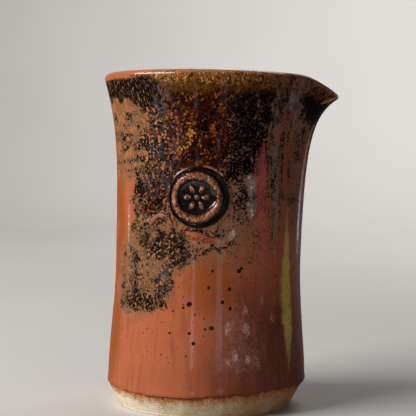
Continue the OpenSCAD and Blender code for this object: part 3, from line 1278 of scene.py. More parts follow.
    def rim_band(self, field: GlazeField, colour: Socket) -> Socket:
        """Olive, brown and cream glazes that break below the rim, and a painted highlight along the lip.

        Args:
            field: Coordinates and noises.
            colour: Colour under them.

        Returns:
            The colour.
        """
        bench, blot, height = field.bench, field.blot, field.height
        olive = widest(self.OLIVE_BAND, field.turn_w, height + field.creep * 4)
        glow = (blot * 0.6 + field.streak * 0.4 + height.smooth(124, 133) * 0.1).smooth(0.44, 0.62)
        brown = widest(self.BROWN_RIM, field.turn_w, height + field.creep * 4)
        brown = brown * (blot * 0.7 + field.crumb * 0.3).smooth(0.44, 0.58)
        flecked = widest(self.FLECKED_RIM, field.turn + field.drift * 6, height)
        dots = (field.fleck * 0.4 + field.salt * 0.6).smooth(0.55, 0.63) * 0.9
        return bench.layers(
            colour,
            (olive * (0.2 + glow * 0.65), self.olive),
            (brown.least(1.0) * 0.8, self.chestnut),
            # Painted highlight along the lip.
            (field.drip(self.LIP_HIGHLIGHT) * 0.7, self.moss_and_lip_highlight),
            (flecked * blot.smooth(0.4, 0.6) * 0.7, self.chestnut),
            (flecked * dots, self.cream))

    def run(self, field: GlazeField) -> Value:
        """Share of the olive run down the side.

        Args:
            field: Coordinates and noises.

        Returns:
            The share, from 0 to 1.
        """
        height = field.height
        half = 2.0 + height.smooth(80, 46) * height.smooth(20, 40) * 4.0
        side = abs(field.turn - self.RUN_TURN + field.drift * 6 + field.fleck * 2 - 1) / half
        length = height.smooth(11, 36) * height.smooth(88, 66)
        return side.smooth(1.2, 0.4) * length * (0.5 + field.blot * 0.8).least(1.0)

    def specks(self, field: GlazeField, colour: Socket) -> Tuple[Socket, Value]:
        """Small iron and milky specks over the lower wall.

        Args:
            field: Coordinates and noises.
            colour: Colour under the specks.

        Returns:
            The speckled colour and where the specks stand up.
        """
        bench, height = field.bench, field.height
        near, lot = bench.cells(field.place, 2.0, 1.0)
        zone = height.smooth(14, 30) * height.smooth(110, 60)
        iron = near.smooth(0.38, 0.2) * lot.smooth(0.6, 0.64) * zone
        far, draw = bench.cells(field.place, 6.0, 2.0)
        milk_and_glint = far.smooth(0.36, 0.2) * draw.smooth(0.8, 0.82) * height.smooth(70, 40)
        return bench.layers(colour, (iron * 0.9, self.soot_and_shade), (milk_and_glint * 0.8, self.milk_and_glint)), iron


@dataclass(frozen=True)
class SealGlaze(OuterGlaze):
    """The outer glaze where it breaks over the stamped clay: brown crests and black recesses."""

    name: str = "seal_glaze"
    seal_coat: float = 0.9
    relief_depth: float = 0.2 * MM
    russet: Colour = srgb(116, 60, 34)
    honey: Colour = srgb(192, 120, 74)
    char: Colour = srgb(20, 12, 10)

    def look(self, bench: Bench) -> Look:
        """Break the glaze over the relief of the seal.

        Args:
            bench: Where the nodes go.

        Returns:
            Colour, roughness, relief and coat.
        """
        base = super().look(bench)
        place = self.place(bench)
        stamp, rise = self.stored(bench, "stamp"), self.stored(bench, "rise")
        fine = bench.grain(place, 0.9, 21.0, 3.0, rough=0.65)
        pits = bench.grain(place, 1.3, 23.0, 2.0)
        patchy = bench.grain(place, 4.0, 25.0, 2.0)
        broken = rise + (fine - 0.5) * 1.1 + (patchy - 0.5) * 0.5
        vein = abs(bench.grain(place, 2.2, 27.0, 4.0, rough=0.65) - 0.5).smooth(0.035, 0.01)
        # Painted glints: small pale white dots on the raised clay of the seal.
        near, lot = bench.cells(place, 1.2, 9.0)
        dots = near.smooth(0.34, 0.16) * lot.smooth(0.7, 0.74)
        metal = bench.layers(
            self.char,
            (broken.smooth(0.4, 0.85), self.russet),
            (broken.smooth(0.8, 1.12) * 0.95, self.honey),
            (pits.smooth(0.55, 0.62) * 0.85, self.char),
            (vein * 0.75, self.char),
            (dots * rise.smooth(0.4, 0.8), self.milk_and_glint))
        ridge = (1 - stamp) * (rise + (fine - 0.5) * 0.2)
        _, _, height = bench.parts(place)
        fresh = bench.mix(height.smooth(77, 74), self.umber, self.rust)
        colour = bench.layers(
            base.colour,
            (stamp, metal),
            (ridge.smooth(0.4, 0.75) * (0.4 + patchy * 0.9).least(0.85), fresh),
            (ridge.smooth(0.3, 0.6) * pits.smooth(0.57, 0.63) * 0.7, self.char))
        rough = base.rough * (1 - stamp * 0.3)
        shine = (1 - stamp) * rise * height.smooth(90, 94) * 0.9
        relief = base.relief * (1 - stamp) + (fine * 1.6 + pits) * stamp
        return Look(colour, rough, relief, base.coat + stamp * self.seal_coat + shine)


@dataclass(frozen=True)
class PooledGlass(Finish):
    """Black glass that has run together in the recesses of the seal."""

    name: str = "pooled_glass"
    coat: float = 0.6
    coat_rough: float = 0.03
    gloss: float = 0.3
    relief_depth: float = 0.05 * MM
    deep: Colour = srgb(16, 12, 12)
    thin: Colour = srgb(58, 36, 24)

    def look(self, bench: Bench) -> Look:
        """Dark glass that thins to brown.

        Args:
            bench: Where the nodes go.

        Returns:
            Colour, roughness and relief.
        """
        place = self.place(bench)
        cloud = bench.grain(place, 2.2, 3.0, 2.0)
        colour = bench.mix(cloud.smooth(0.45, 0.75) * 0.7, self.deep, self.thin)
        return Look(colour, 0.06 + cloud * 0.06, bench.grain(place, 1.6, 4.0, 1.0))


@dataclass(frozen=True)
class LinerGlaze(Finish):
    """Glossy brown iron glaze of the inside."""

    name: str = "liner_glaze"
    coat: float = 0.6
    coat_rough: float = 0.04
    relief_depth: float = 0.1 * MM
    brown: Colour = srgb(92, 48, 32)
    dark: Colour = srgb(48, 26, 20)
    rust: Colour = srgb(150, 80, 52)
    rim_h: float = 134.6

    def look(self, bench: Bench) -> Look:
        """Brown glaze that darkens down the wall and breaks to rust at the rim.

        Args:
            bench: Where the nodes go.

        Returns:
            Colour, roughness and relief.
        """
        place = self.place(bench)
        height = self.stored(bench, "thrown_height") * 1000
        streak = bench.grain(place, 4.0, 2.0, 3.0, (1, 1, 8))
        mottle = bench.grain(place, 2.4, 5.0, 3.0)
        fine = bench.grain(place, 0.8, 6.0, 2.0)
        rim = height.smooth(self.rim_h - 14, self.rim_h - 1) * fine.smooth(0.3, 0.6)
        colour = bench.layers(
            self.brown,
            ((streak * 0.6 + mottle * 0.5).smooth(0.4, 0.7), self.dark),
            (rim * 0.85, self.rust))
        return Look(colour, 0.16 + mottle * 0.12, mottle * 0.7 + fine * 0.3)


@dataclass(frozen=True)
class BareClay(Finish):
    """Buff stoneware with grog, toasted where it meets the glaze."""

    name: str = "bare_stoneware"
    relief_depth: float = 0.35 * MM
    buff: Colour = srgb(252, 236, 208)
    sand: Colour = srgb(214, 178, 132)
    toast: Colour = srgb(204, 118, 54)
    scorch: Colour = srgb(104, 50, 24)
    iron: Colour = srgb(84, 56, 40)
    line_h: float = 9.0

    def look(self, bench: Bench) -> Look:
        """Buff clay with a toasted fringe under the glaze line.

        Args:
            bench: Where the nodes go.

        Returns:
            Colour, roughness and relief.
        """
        place = self.place(bench)
        height = self.stored(bench, "thrown_height") * 1000
        cloud = bench.grain(place, 7, 1.0, 4.0)
        tooth = bench.grain(place, 0.5, 2.0, 3.0)
        turned = bench.grain(place, 0.7, 3.0, 2.0, (14, 14, 1))
        x, _, _ = bench.parts(place)
        # Painted light and shade: sand is laid on towards +X, so the foot is paler on its -X side, which
        # faces the key lamp.
        warm = (cloud * 0.7 + tooth * 0.5 + x.smooth(-30, 40) * 0.2).smooth(0.5, 0.8)
        below = self.line_h + glaze_ripple(bench, place, 1.0) * GLAZE_WAVE - height
        wander = (bench.grain(place, 2.6, 4.0, 4.0, rough=0.75) - 0.5) * 9.0
        rusty = tooth.smooth(0.52, 0.6) * (below + wander * 0.6).smooth(4.5, 0.5)
        near, lot = bench.cells(place, 1.7, 3.0)
        grit = near.smooth(0.36, 0.2) * lot.smooth(0.62, 0.66)
        colour = bench.layers(
            self.buff,
            (warm, self.sand),
            # Toast is laid on more thickly towards +X.
            (x.smooth(0, 38) * cloud.smooth(0.3, 0.6) * 0.5, self.toast),
            ((below + wander).smooth(4.0, 0.6) * 0.95, self.toast),
            ((below + wander * 0.5).smooth(0.8, 0.2) * 0.7, self.scorch),
            (rusty * 0.8, self.scorch),
            (grit * 0.8, self.iron))
        return Look(colour, 0.82 + tooth * 0.12, tooth * 0.5 + turned * 0.6 + grit * 0.4)


@dataclass(frozen=True)
class IronSpot(Finish):
    """A blister where iron has come through: black middle and brown edge."""

    name: str = "iron_spots"
    coat: float = 0.05
    gloss: float = 0.04
    relief_depth: float = 0.05 * MM
    black: Colour = srgb(20, 12, 12)
    brown: Colour = srgb(96, 46, 26)

    def look(self, bench: Bench) -> Look:
        """Brown at the edge and black in the middle.

        Args:
            bench: Where the nodes go.

        Returns:
            Colour, roughness and relief.
        """
        fine = bench.grain(self.place(bench), 0.5, 1.0, 2.0)
        rise = self.stored(bench, "rise") + (fine - 0.5) * 0.5
        lot = bench.grain(self.place(bench), 4.0, 2.0, 0.0).smooth(0.48, 0.52)
        colour = bench.layers(
            self.brown, (rise.smooth(0.2, 0.5), self.black),
            (rise.smooth(0.82, 0.95) * lot * 0.8, self.brown))
        return Look(colour, 0.32 + fine * 0.1, fine)


@dataclass(frozen=True)
class GrogGrain(Finish):
    """Grains of fired clay in the bare foot, pale or rusty."""

    name: str = "grog"
    relief_depth: float = 0.05 * MM
    pale: Colour = srgb(238, 220, 190)
    rusty: Colour = srgb(150, 104, 68)

    def look(self, bench: Bench) -> Look:
        """Pale and rusty grains mixed.

        Args:
            bench: Where the nodes go.

        Returns:
            Colour, roughness and relief.
        """
        lot = bench.grain(self.place(bench), 1.4, 1.0, 1.0)
        return Look(bench.mix(lot.smooth(0.5, 0.62), self.pale, self.rusty), 0.86 + lot * 0.05, lot)


@dataclass(frozen=True)
class SealPlace:
    """Where the stamped pellet sits on the wall."""

    law: WallLaw
    turn: float = -6.0
    height: float = 86 * MM
    dent_r: float = 12.2 * MM

    @property
    def angle(self) -> float:
        """Angle of the seal from +X."""
        return math.radians(self.turn - 90)

    @property
    def middle(self) -> Vector:
        """Middle of the seal on the clay."""
        r = self.law.radius(self.height)
        return Vector((r * math.cos(self.angle), r * math.sin(self.angle), self.height))

    def matrix(self) -> Matrix:
        """Frame of the seal: X to the right, Y up, Z out of the wall.

        Returns:
            The matrix of that frame.
        """
        out = Vector((math.cos(self.angle), math.sin(self.angle), 0))
        right = Vector((-math.sin(self.angle), math.cos(self.angle), 0))
        turn = Matrix((right, Vector((0, 0, 1)), out)).transposed().to_4x4()
        return Matrix.Translation(self.middle) @ turn


@dataclass
class ThrownBody:
    """The clay of the jug, with its bare foot and the grog in it."""

    wheel: ThrowingWheel
    seal: SealPlace
    throwing: Throwing = Throwing(columns=288, seal_dent=2.6 * MM)
    grog_density: float = 330000.0
    grog_r: float = 0.17 * MM
    grog_seed: int = 11
    GROG_FADE = 0.2 * MM
    GROG_FROM_R = 34 * MM
    GROG_FROM_H = 0.6 * MM
    GROG_GAP = 0.8 * MM

    def build(self) -> None:
        """Turn the clay and set the grog into its foot."""
        law = self.wheel.law
        clay = self.wheel.turn("stoneware_clay", Sections(law).bare_clay(), self.throwing,
                               BareClay().material(), self.seal, 0.0, 0.0)
        hand_over(clay, Slot.CLAY, "stoneware_body")
        hand_over(self.grog(clay), Slot.CLAY)

    def grog(self, clay: bpy.types.Object) -> bpy.types.Object:
        """Scatter grains over the bare foot.

        Args:
            clay: The clay that carries them.

        Returns:
            The grains as one piece.
        """
        bench, given = new_tree("foot_grog", {
            "Clay": "Geometry", "Density": "Float", "Grain Radius": "Float", "Lowest": "Float",
            "Highest": "Float", "Seed": "Int", "Grog": "Material"})
        density, lowest, highest = (
            Value(bench, given[name]) for name in ("Density", "Lowest", "Highest"))
        x, y, z = bench.parts(bench.position())
        band = z.smooth(lowest, lowest + self.GROG_FADE) * z.smooth(highest, highest - self.GROG_FADE)
        outer = ((x * x + y * y) ** 0.5).smooth(self.GROG_FROM_R, self.GROG_FROM_R + 0.5 * MM)
        spread = bench.node("GeometryNodeDistributePointsOnFaces", {"distribute_method": "RANDOM"}, {
            "Mesh": given["Clay"], "Density": density * band * outer, "Seed": given["Seed"]})
        size = bench.node("FunctionNodeRandomValue", {"data_type": "FLOAT"}, {
            2: 0.35, 3: 1.0, "Seed": given["Seed"]}).outputs[1]
        tilt = bench.node("FunctionNodeRandomValue", {"data_type": "FLOAT_VECTOR"}, {
            0: (0.0, 0.0, 0.0), 1: (3.0, 3.0, 3.0), "Seed": given["Seed"]}).outputs[0]
        grain = bench.node("GeometryNodeMeshIcoSphere", None, {
            "Radius": given["Grain Radius"], "Subdivisions": 2})
        shape = bench.node("GeometryNodeTransform", None, {
            "Geometry": grain.outputs[0], "Scale": (1.0, 0.8, 0.6)})
        laid = bench.node("GeometryNodeInstanceOnPoints", None, {
            "Points": spread.outputs["Points"], "Instance": shape.outputs[0], "Rotation": tilt,
            "Scale": size})
        bench.hand_out(laid.outputs[0], given["Grog"], smooth=False)
        return from_nodes("foot_grog", clay.data.copy(), bench.tree, {
            "Density": self.grog_density, "Grain Radius": self.grog_r, "Lowest": self.GROG_FROM_H,
            "Highest": self.wheel.law.glaze_line_h - self.GROG_GAP, "Seed": self.grog_seed,
            "Grog": GrogGrain().material()})


@dataclass
class GlazeCoats:
    """The outer coat and the liner, fired onto the clay, and the iron spots in the outer coat."""

    wheel: ThrowingWheel
    seal: SealPlace
    outer: Throwing = Throwing(
        columns=400, edge_wave=GLAZE_WAVE * MM, run_rise=0.22 * MM, seal_dent=2.6 * MM)
    liner: Throwing = Throwing(columns=288, lump_depth=0.3 * MM, ring_depth=0.12 * MM)
    bead: float = 0.22 * MM
    spot_seed: int = 5
    spot_scale: float = 0.88
    spot_flatness: float = 0.12
    loose_spots: int = 46
    spots: Tuple[Tuple[float, float, float], ...] = (
        (-37, 42.5, 0.55), (-20, 42, 0.45), (-14, 43.5, 0.6), (-10.5, 45, 1.15), (-21.5, 33.5, 0.6),
        (-10, 33.8, 0.75), (-7.5, 30, 0.8), (2.5, 58, 0.7), (18, 58, 0.9), (19.6, 59, 0.7),
        (0.5, 51.5, 0.75), (12.5, 51, 0.95), (8.5, 46, 0.9), (13, 43.5, 1.0), (2.5, 36, 1.1),
        (-1, 35.5, 0.7), (-26, 25, 0.5), (-11.5, 25, 0.45), (-7, 41, 0.5), (57, 56, 0.6), (57, 43, 0.7),
        (52, 33, 0.7), (57, 36, 0.6))

    def build(self) -> None:
        """Turn both coats and set the spots."""
        sections = Sections(self.wheel.law)
        finish = OuterGlaze()
        coat = self.wheel.turn("outer_coat", sections.outer_coat(self.bead), self.outer,
                               finish.material(), self.seal, finish.RUN_TURN, finish.RUN_H * MM)
        hand_over(coat, Slot.OUTER, "outer_glaze")
        liner = self.wheel.turn("liner_coat", sections.liner_coat(), self.liner, LinerGlaze().material(),
                                self.seal, 0.0, 0.0)
        hand_over(liner, Slot.LINER, "liner_glaze")
        hand_over(self.iron_spots(), Slot.OUTER)

    def iron_spots(self) -> bpy.types.Object:
        """Set low blisters on the coat, the listed ones in front and loose ones round the rest.

        Returns:
            The spots as one piece.
        """
        law = self.wheel.law
        draw = random.Random(self.spot_seed)
        spots = list(self.spots)
        for _ in range(self.loose_spots):
            spots.append((draw.uniform(75, 290), draw.uniform(22, 70), draw.uniform(0.35, 1.0)))
        points, normals, radii = [], [], []
        for turn, height, radius in spots:
            point, normal = law.on_wall(turn, height * MM, law.glaze_t)
            points.append(point)
            normals.extend(normal)
            radii.append(radius * self.spot_scale * MM)
        base = bpy.data.meshes.new("iron_spot_points")
        base.from_pydata(points, [], [])
        base.attributes.new("out", "FLOAT_VECTOR", "POINT").data.foreach_set("vector", normals)
        base.attributes.new("size", "FLOAT", "POINT").data.foreach_set("value", radii)
        return from_nodes("iron_spots", base, self.spot_tree(), {
            "Flatness": self.spot_flatness, "Seed": self.spot_seed, "Glaze": IronSpot().material()})

    def spot_tree(self) -> bpy.types.NodeTree:
        """Tree that puts one low dome on each point.

        Returns:
            The tree.
        """
        bench, given = new_tree("iron_spots", {
            "Points": "Geometry", "Flatness": "Float", "Seed": "Int", "Glaze": "Material"})
        ball = bench.node("GeometryNodeMeshIcoSphere", None, {"Radius": 1.0, "Subdivisions": 3})
        _, _, z = bench.parts(bench.position())
        marked = bench.keep(ball.outputs[0], "rise", z)
        tilt = bench.node("FunctionNodeAlignRotationToVector", {"axis": "Z"}, {
            "Vector": bench.named("out", "FLOAT_VECTOR")})
        wide = Value(bench, bench.named("size"))
        oval = Value(bench, bench.node("FunctionNodeRandomValue", {"data_type": "FLOAT"}, {
            2: 0.75, 3: 1.25, "Seed": given["Seed"]}).outputs[1])
        scale = bench.point(wide * oval, wide, wide * Value(bench, given["Flatness"]))
        laid = bench.node("GeometryNodeInstanceOnPoints", None, {
            "Points": given["Points"], "Instance": marked, "Rotation": tilt.outputs[0], "Scale": scale})
        bench.hand_out(laid.outputs[0], given["Glaze"])
        return bench.tree


@dataclass(frozen=True)
class SmearRidge:
    """A ridge of clay that the thumb left beside the seal, in millimetres from its middle."""

    start: Tuple[float, float]
    end: Tuple[float, float]
    rise: float
    width: float
    point: float = 0.25

    def height(self, a: np.ndarray, b: np.ndarray) -> np.ndarray:
        """Height of the ridge over points of the seal's plane.

        Args:
            a: Places to the right.
            b: Places upwards.

        Returns:
            Height over the wall.
        """
        first, step = np.array(self.start), np.array(self.end) - np.array(self.start)
        along = np.clip(((a - first[0]) * step[0] + (b - first[1]) * step[1]) / (step @ step), 0, 1)
        off = np.hypot(a - first[0] - along * step[0], b - first[1] - along * step[1])
        taper = np.sin(np.pi * np.clip(along, 0.06, 0.94)) ** self.point
        return self.rise * taper * np.exp(-(off / (self.width * taper)) ** 2)


@dataclass
class StampedSeal:
    """The stamped pellet: raised ring, sunk middle with a rosette, groove, and clay smeared round it."""

    seal: SealPlace
    columns: int = 240
    ring_r: float = 10.15
    ring_shift: Tuple[float, float] = (-0.85, 0.15)
    hole_half_w: float = 7.4
    hole_half_h: float = 6.4
    ring_rise: float = 2.0
    floor: float = -0.9
    moat_r: float = 11.85
    bank_rise: float = 0.4
    back: float = -3.4
    pit_seed: int = 21
    pits: int = 26
    petals: int = 6
    petal_ring_r: float = 3.5
    petal_size: Tuple[float, float, float] = (2.1, 1.6, 1.6)
    bead_r: float = 1.4
    rosette_rise: float = 1.7
    ridges: Tuple[SmearRidge, ...] = (
        SmearRidge((-6.4, -13.1), (8.4, -17.6), 1.0, 1.7, 0.7),
        SmearRidge((-22.0, -12.6), (-16.4, -7.0), 0.9, 1.1),
        SmearRidge((-16.9, -7.4), (-13.0, -7.2), 0.85, 1.1),
        SmearRidge((-13.6, -6.9), (-10.4, -11.2), 0.9, 1.0),
        SmearRidge((-11.6, -2.6), (-8.8, -11.2), 0.7, 0.5),
        SmearRidge((2.4, 12.4), (10.4, 8.6), 0.5, 1.0))
    FOLLOW = 0.72
    COAT = 0.4
    RING_ROOT = 1.3
    RING_SPREAD = 0.35
    FILLET = 0.25
    PITS_FROM_R = 7.0
    PIT_DEPTH = 0.22
    LUMP_RISE = 0.2
    POOL_LEVEL = -0.42
    POOL_BED = -1.6

    def __post_init__(self) -> None:
        """Work out the outlines of the seal round its middle."""
        self.around = np.linspace(0, FULL_TURN, self.columns, endpoint=False)
        right, up = np.cos(self.around), np.sin(self.around)
        wobble = 0.12 * np.sin(3 * self.around + 1.0) + 0.08 * np.sin(5 * self.around + 2.2)
        aside = self.ring_shift[0] * right + self.ring_shift[1] * up
        self.hole = 1 / np.hypot(right / self.hole_half_w, up / self.hole_half_h) + aside + wobble
        self.ring = self.ring_r + aside + 0.7 * wobble
        self.moat = self.moat_r + 0.6 * wobble
        self.bank = self.bank_rise + 0.45 * np.exp(-((self.around - 2.13) / 0.55) ** 2)
        below = np.clip(-up, 0, 1)
        tongue = np.exp(-((self.around - 3.68) / 0.3) ** 2)
        self.skirt = self.moat + 2.2 + 6.4 * below ** 1.5 + 12.5 * tongue

    def build(self) -> None:
        """Make the pellet, the pooled glass and the rosette."""
        glaze = SealGlaze().material()
        hand_over(self.pellet(glaze), Slot.SEAL, "seal_pellet")
        hand_over(self.pool(), Slot.POOL, "seal_pool")
        hand_over(self.rosette(glaze), Slot.SEAL)

    def wall(self, a: np.ndarray, b: np.ndarray) -> np.ndarray:
        """Height of the glazed wall over the plane of the seal.

        Args:
            a: Places to the right, in millimetres.
            b: Places upwards, in millimetres.

        Returns:
            Heights, below 0 away from the middle.
        """
        law = self.seal.law
        far = np.vectorize(lambda up: law.radius(self.seal.height + up * MM) / MM)(b) + law.glaze_t / MM
        return np.sqrt(far ** 2 - a ** 2) - law.radius(self.seal.height) / MM

    def bend(self, rho: np.ndarray) -> np.ndarray:
        """How far the stamped face bends back with the wall, at one distance to a column."""
        wall = self.wall(rho * np.cos(self.around), rho * np.sin(self.around))
        return self.FOLLOW * (wall - self.COAT)

    def relief(self, rho: np.ndarray) -> Tuple[np.ndarray, np.ndarray, np.ndarray]:
        """Relief of the pellet along one ring round its middle.

        Args:
            rho: Distances from the middle, one to a column.

        Returns:
            Height over the seal's plane, share of the stamp, and rise of the clay from 0 to 1.
        """
        a, b = rho * np.cos(self.around), rho * np.sin(self.around)
        middle, half = (self.hole + self.ring) / 2, (self.ring - self.hole) / 2 + self.RING_SPREAD
        reach = np.clip(np.abs(rho - middle) / half, 0, 1)
        crest = -self.RING_ROOT + (self.ring_rise + self.RING_ROOT) * (1 - reach ** 2.4) ** 0.6
        face = soft_max(np.full_like(rho, self.floor), crest, self.FILLET)
        past = rho - self.moat
        bank = self.bank * np.where(past < 0, 1 + past * 4, np.exp(-(past / 1.5) ** 2))
        smear = np.max([ridge.height(a, b) for ridge in self.ridges], axis=0)
        sunk = 0.75 * np.clip(past / (self.skirt - self.moat), 0, 1) ** 1.6
        skirted = self.wall(a, b) + bank + smear * np.clip(past, 0, 1) - sunk - 0.05
        height = soft_max(self.bend(rho) + face - 6 * np.clip(past, 0, None), skirted, 0.2)
        stamp = np.clip(0.5 - past / 0.8, 0, 1)
        inside = np.clip((face - self.floor) / (self.ring_rise - self.floor), 0, 1)
        rise = np.where(past < 0.2, inside, np.clip((bank * 0.6 + smear) / 0.8, 0, 1))
        return height, stamp, rise

    def rings(self) -> List[np.ndarray]:
        """Distances of the pellet's rings, following its outlines.

        Returns:
            One row of distances to a ring.
        """
        spans = ((np.zeros_like(self.hole), self.hole, 24), (self.hole, self.ring, 30),
                 (self.ring, self.moat, 14), (self.moat, self.skirt, 34))
        rows = [low + (high - low) * i / count for low, high, count in spans for i in range(count)]
        return rows + [self.skirt]

    def pellet(self, glaze: bpy.types.Material) -> bpy.types.Object:
        """The stamped clay under its glaze.

        Args:
            glaze: Its material.

        Returns:
            The piece.
        """
        draw = random.Random(self.pit_seed)
        pits = [(draw.uniform(0, FULL_TURN), draw.uniform(0.25, 0.85), draw.uniform(0.35, 0.7))
                for _ in range(self.pits)]
        rows, stamps, rises = [], [], []
        for rho in self.rings():
            height, stamp, rise = self.relief(rho)
            a, b = rho * np.cos(self.around), rho * np.sin(self.around)
            lumps = np.array([self.lump(p, q) for p, q in zip(a, b)])
            height = height + self.LUMP_RISE * lumps * stamp
            for angle, share, size in pits:
                mid = self.PITS_FROM_R + (self.ring_r - self.PITS_FROM_R) * share
                off = np.hypot(a - mid * math.cos(angle), b - mid * math.sin(angle)) / size
                height = height - self.PIT_DEPTH * np.exp(-off ** 2 * 2) * stamp
            rows.append((rho, height))
            stamps.append(stamp)
            rises.append(rise)
        for share in (1.0, 0.5, 0.0):
            rows.append((self.skirt * share, np.full_like(self.skirt, self.back - 2.0 * share ** 2)))
            stamps.append(np.zeros_like(self.skirt))
            rises.append(np.zeros_like(self.skirt))
        return self.skin("seal_stamp", rows, glaze, False, {"stamp": stamps, "rise": rises})

    @staticmethod
    def lump(a: float, b: float) -> float:
        """Unevenness of the stamped clay at a place."""
        return noise.noise(Vector((a, b, 0.0)) * 0.45) + 0.5 * noise.noise(Vector((a, b, 4.0)) * 1.1)

    def pool(self) -> bpy.types.Object:
        """The glass in the middle and in the groove.

        Returns:
            Both pools as one piece.
        """
        middle = self.hole + 0.1
        facing = np.clip(np.cos(self.around + 0.7), 0, 1)
        inner = [(middle * s, self.POOL_LEVEL + (0.1 + 0.75 * facing) * s ** 6 + self.bend(middle * s))
                 for s in np.linspace(0, 1, 22)]
        bed = np.full_like(middle, self.POOL_BED)
        inner += [(middle, bed), (middle * 0, bed)]
        low, high = self.ring - 0.15, self.moat + 0.05
        towards, below = np.clip(np.cos(self.around - 2.58), 0, 1), np.clip(-np.sin(self.around), 0, 1)
        outer = []
        for s in np.linspace(0, 1, 9):
            rho = low + (high - low) * s
            lean = (1 - 2 * s) * (0.17 * towards - 0.15 * below)
            outer.append((rho, self.POOL_LEVEL + 0.08 * (2 * s - 1) ** 4 + lean + self.bend(rho)))
        outer += [(high, outer[-1][1] - 1.0), (low, outer[0][1] - 1.0)]
        glass = PooledGlass().material()
        first = self.skin("seal_glass", inner, glass, False, {})
        second = self.skin("seal_glass_groove", outer, glass, True, {})
        merged = bmesh.new()
        merged.from_mesh(first.data)
        merged.from_mesh(second.data)
        merged.to_mesh(first.data)
        merged.free()
        bpy.data.objects.remove(second)
        return first

    def skin(self, name: str, rows: Sequence[Tuple[np.ndarray, np.ndarray]], finish: bpy.types.Material,
             looped: bool, stored: Dict[str, Sequence[np.ndarray]]) -> bpy.types.Object:
        """Mesh through rings round the middle of the seal.

        Args:
            name: Name of the piece.
            rows: Distance and height of each ring, column by column, in millimetres.
            finish: Material of the piece.
            looped: Whether the last ring joins the first.
            stored: Numbers to store on the points, ring by ring.

        Returns:
            The piece in place on the wall.
        """
        right, up = np.cos(self.around), np.sin(self.around)
        points = [(r * c * MM, r * s * MM, h * MM) for rho, height in rows
                  for r, h, c, s in zip(rho, height, right, up)]
        count, total = self.columns, len(rows)
        faces = []
        for k in range(total if looped else total - 1):
            for i in range(count):
                j, n = (i + 1) % count, (k + 1) % total
                faces.append((k * count + i, n * count + i, n * count + j, k * count + j))
        mesh = bpy.data.meshes.new(name)
        mesh.from_pydata(points, [], faces)
        for label, numbers in stored.items():
            layer = mesh.attributes.new(label, "FLOAT", "POINT")
            layer.data.foreach_set("value", np.concatenate(numbers))
        mesh.attributes.new("thrown_height", "FLOAT", "POINT").data.foreach_set(
            "value", np.concatenate([rho * up * MM + self.seal.height for rho, _ in rows]))
        mesh.transform(self.seal.matrix())
        shell = bmesh.new()
        shell.from_mesh(mesh)
        bmesh.ops.remove_doubles(shell, verts=shell.verts, dist=1e-6)
        for face in shell.faces:
            face.smooth = True
        shell.to_mesh(mesh)
        shell.free()
        mesh.materials.append(finish)
        return add_piece(name, mesh)

    def rosette(self, glaze: bpy.types.Material) -> bpy.types.Object:
        """A plain flower of raised petals round a bead.

        Args:
            glaze: Its material.

        Returns:
            The flower as one piece.
        """
        bench, given = new_tree("seal_rosette", {
            "Base": "Geometry", "Petals": "Int", "Petal Ring Radius": "Float", "Bead Radius": "Float",
            "Height": "Float", "Petal Size": "Vector", "Glaze": "Material"})
        ball = bench.node("GeometryNodeMeshUVSphere", None, {"Segments": 28, "Rings": 18, "Radius": 1.0})
        x, y, z = bench.parts(bench.position())
        vein = abs(y).smooth(0.22, 0.0) * x.smooth(1.0, -0.3) * z.smooth(0.2, 0.9) * 0.22
        pinched = bench.point(x, y * (0.72 + x * 0.28), z - vein)
        leaf = bench.node("GeometryNodeSetPosition", None, {
            "Geometry": ball.outputs[0], "Position": pinched})
        sized = bench.node("GeometryNodeTransform", None, {
            "Geometry": leaf.outputs[0], "Scale": given["Petal Size"]})
        circle = bench.node("GeometryNodeMeshCircle", None, {
            "Vertices": given["Petals"], "Radius": given["Petal Ring Radius"]})
        tilt = bench.node("FunctionNodeAlignRotationToVector", {"axis": "X", "pivot_axis": "Z"}, {
            "Vector": bench.position()})
        flower = bench.node("GeometryNodeInstanceOnPoints", None, {
            "Points": circle.outputs[0], "Instance": sized.outputs[0], "Rotation": tilt.outputs[0]})
        bead = bench.node("GeometryNodeMeshUVSphere", None, {
            "Segments": 28, "Rings": 18, "Radius": given["Bead Radius"]})
        both = bench.node("GeometryNodeJoinGeometry")
        for geometry in (flower, bead):
            bench.tree.links.new(geometry.outputs[0], both.inputs[0])
        real = bench.node("GeometryNodeRealizeInstances", None, {"Geometry": both.outputs[0]})
        _, _, level = bench.parts(bench.position())
        rise = (level / Value(bench, given["Height"])).smooth(-0.2, 0.9)
        kept = bench.keep(bench.keep(real.outputs[0], "rise", rise), "stamp", 1.0)
        bench.hand_out(kept, given["Glaze"])
        piece = from_nodes("seal_rosette", bpy.data.meshes.new("rosette_base"), bench.tree, {
            "Petals": self.petals, "Petal Ring Radius": self.petal_ring_r * MM,
            "Bead Radius": self.bead_r * MM, "Height": self.rosette_rise * MM,
            "Petal Size": tuple(part * MM for part in self.petal_size), "Glaze": glaze})
        aside, up = self.ring_shift
        offset = Matrix.Translation((aside * MM, up * MM, self.floor * MM))
        piece.data.transform(self.seal.matrix() @ offset)
        return piece


def soft_max(first: np.ndarray, second: np.ndarray, blend: float) -> np.ndarray:
    """The larger of two heights, with a fillet where they meet.

    Args:
        first: One height.
        second: The other height.
        blend: Size of the fillet.

    Returns:
        The blended height.
    """
    share = np.clip(0.5 + 0.5 * (first - second) / blend, 0, 1)
    return second + (first - second) * share + blend * share * (1 - share)


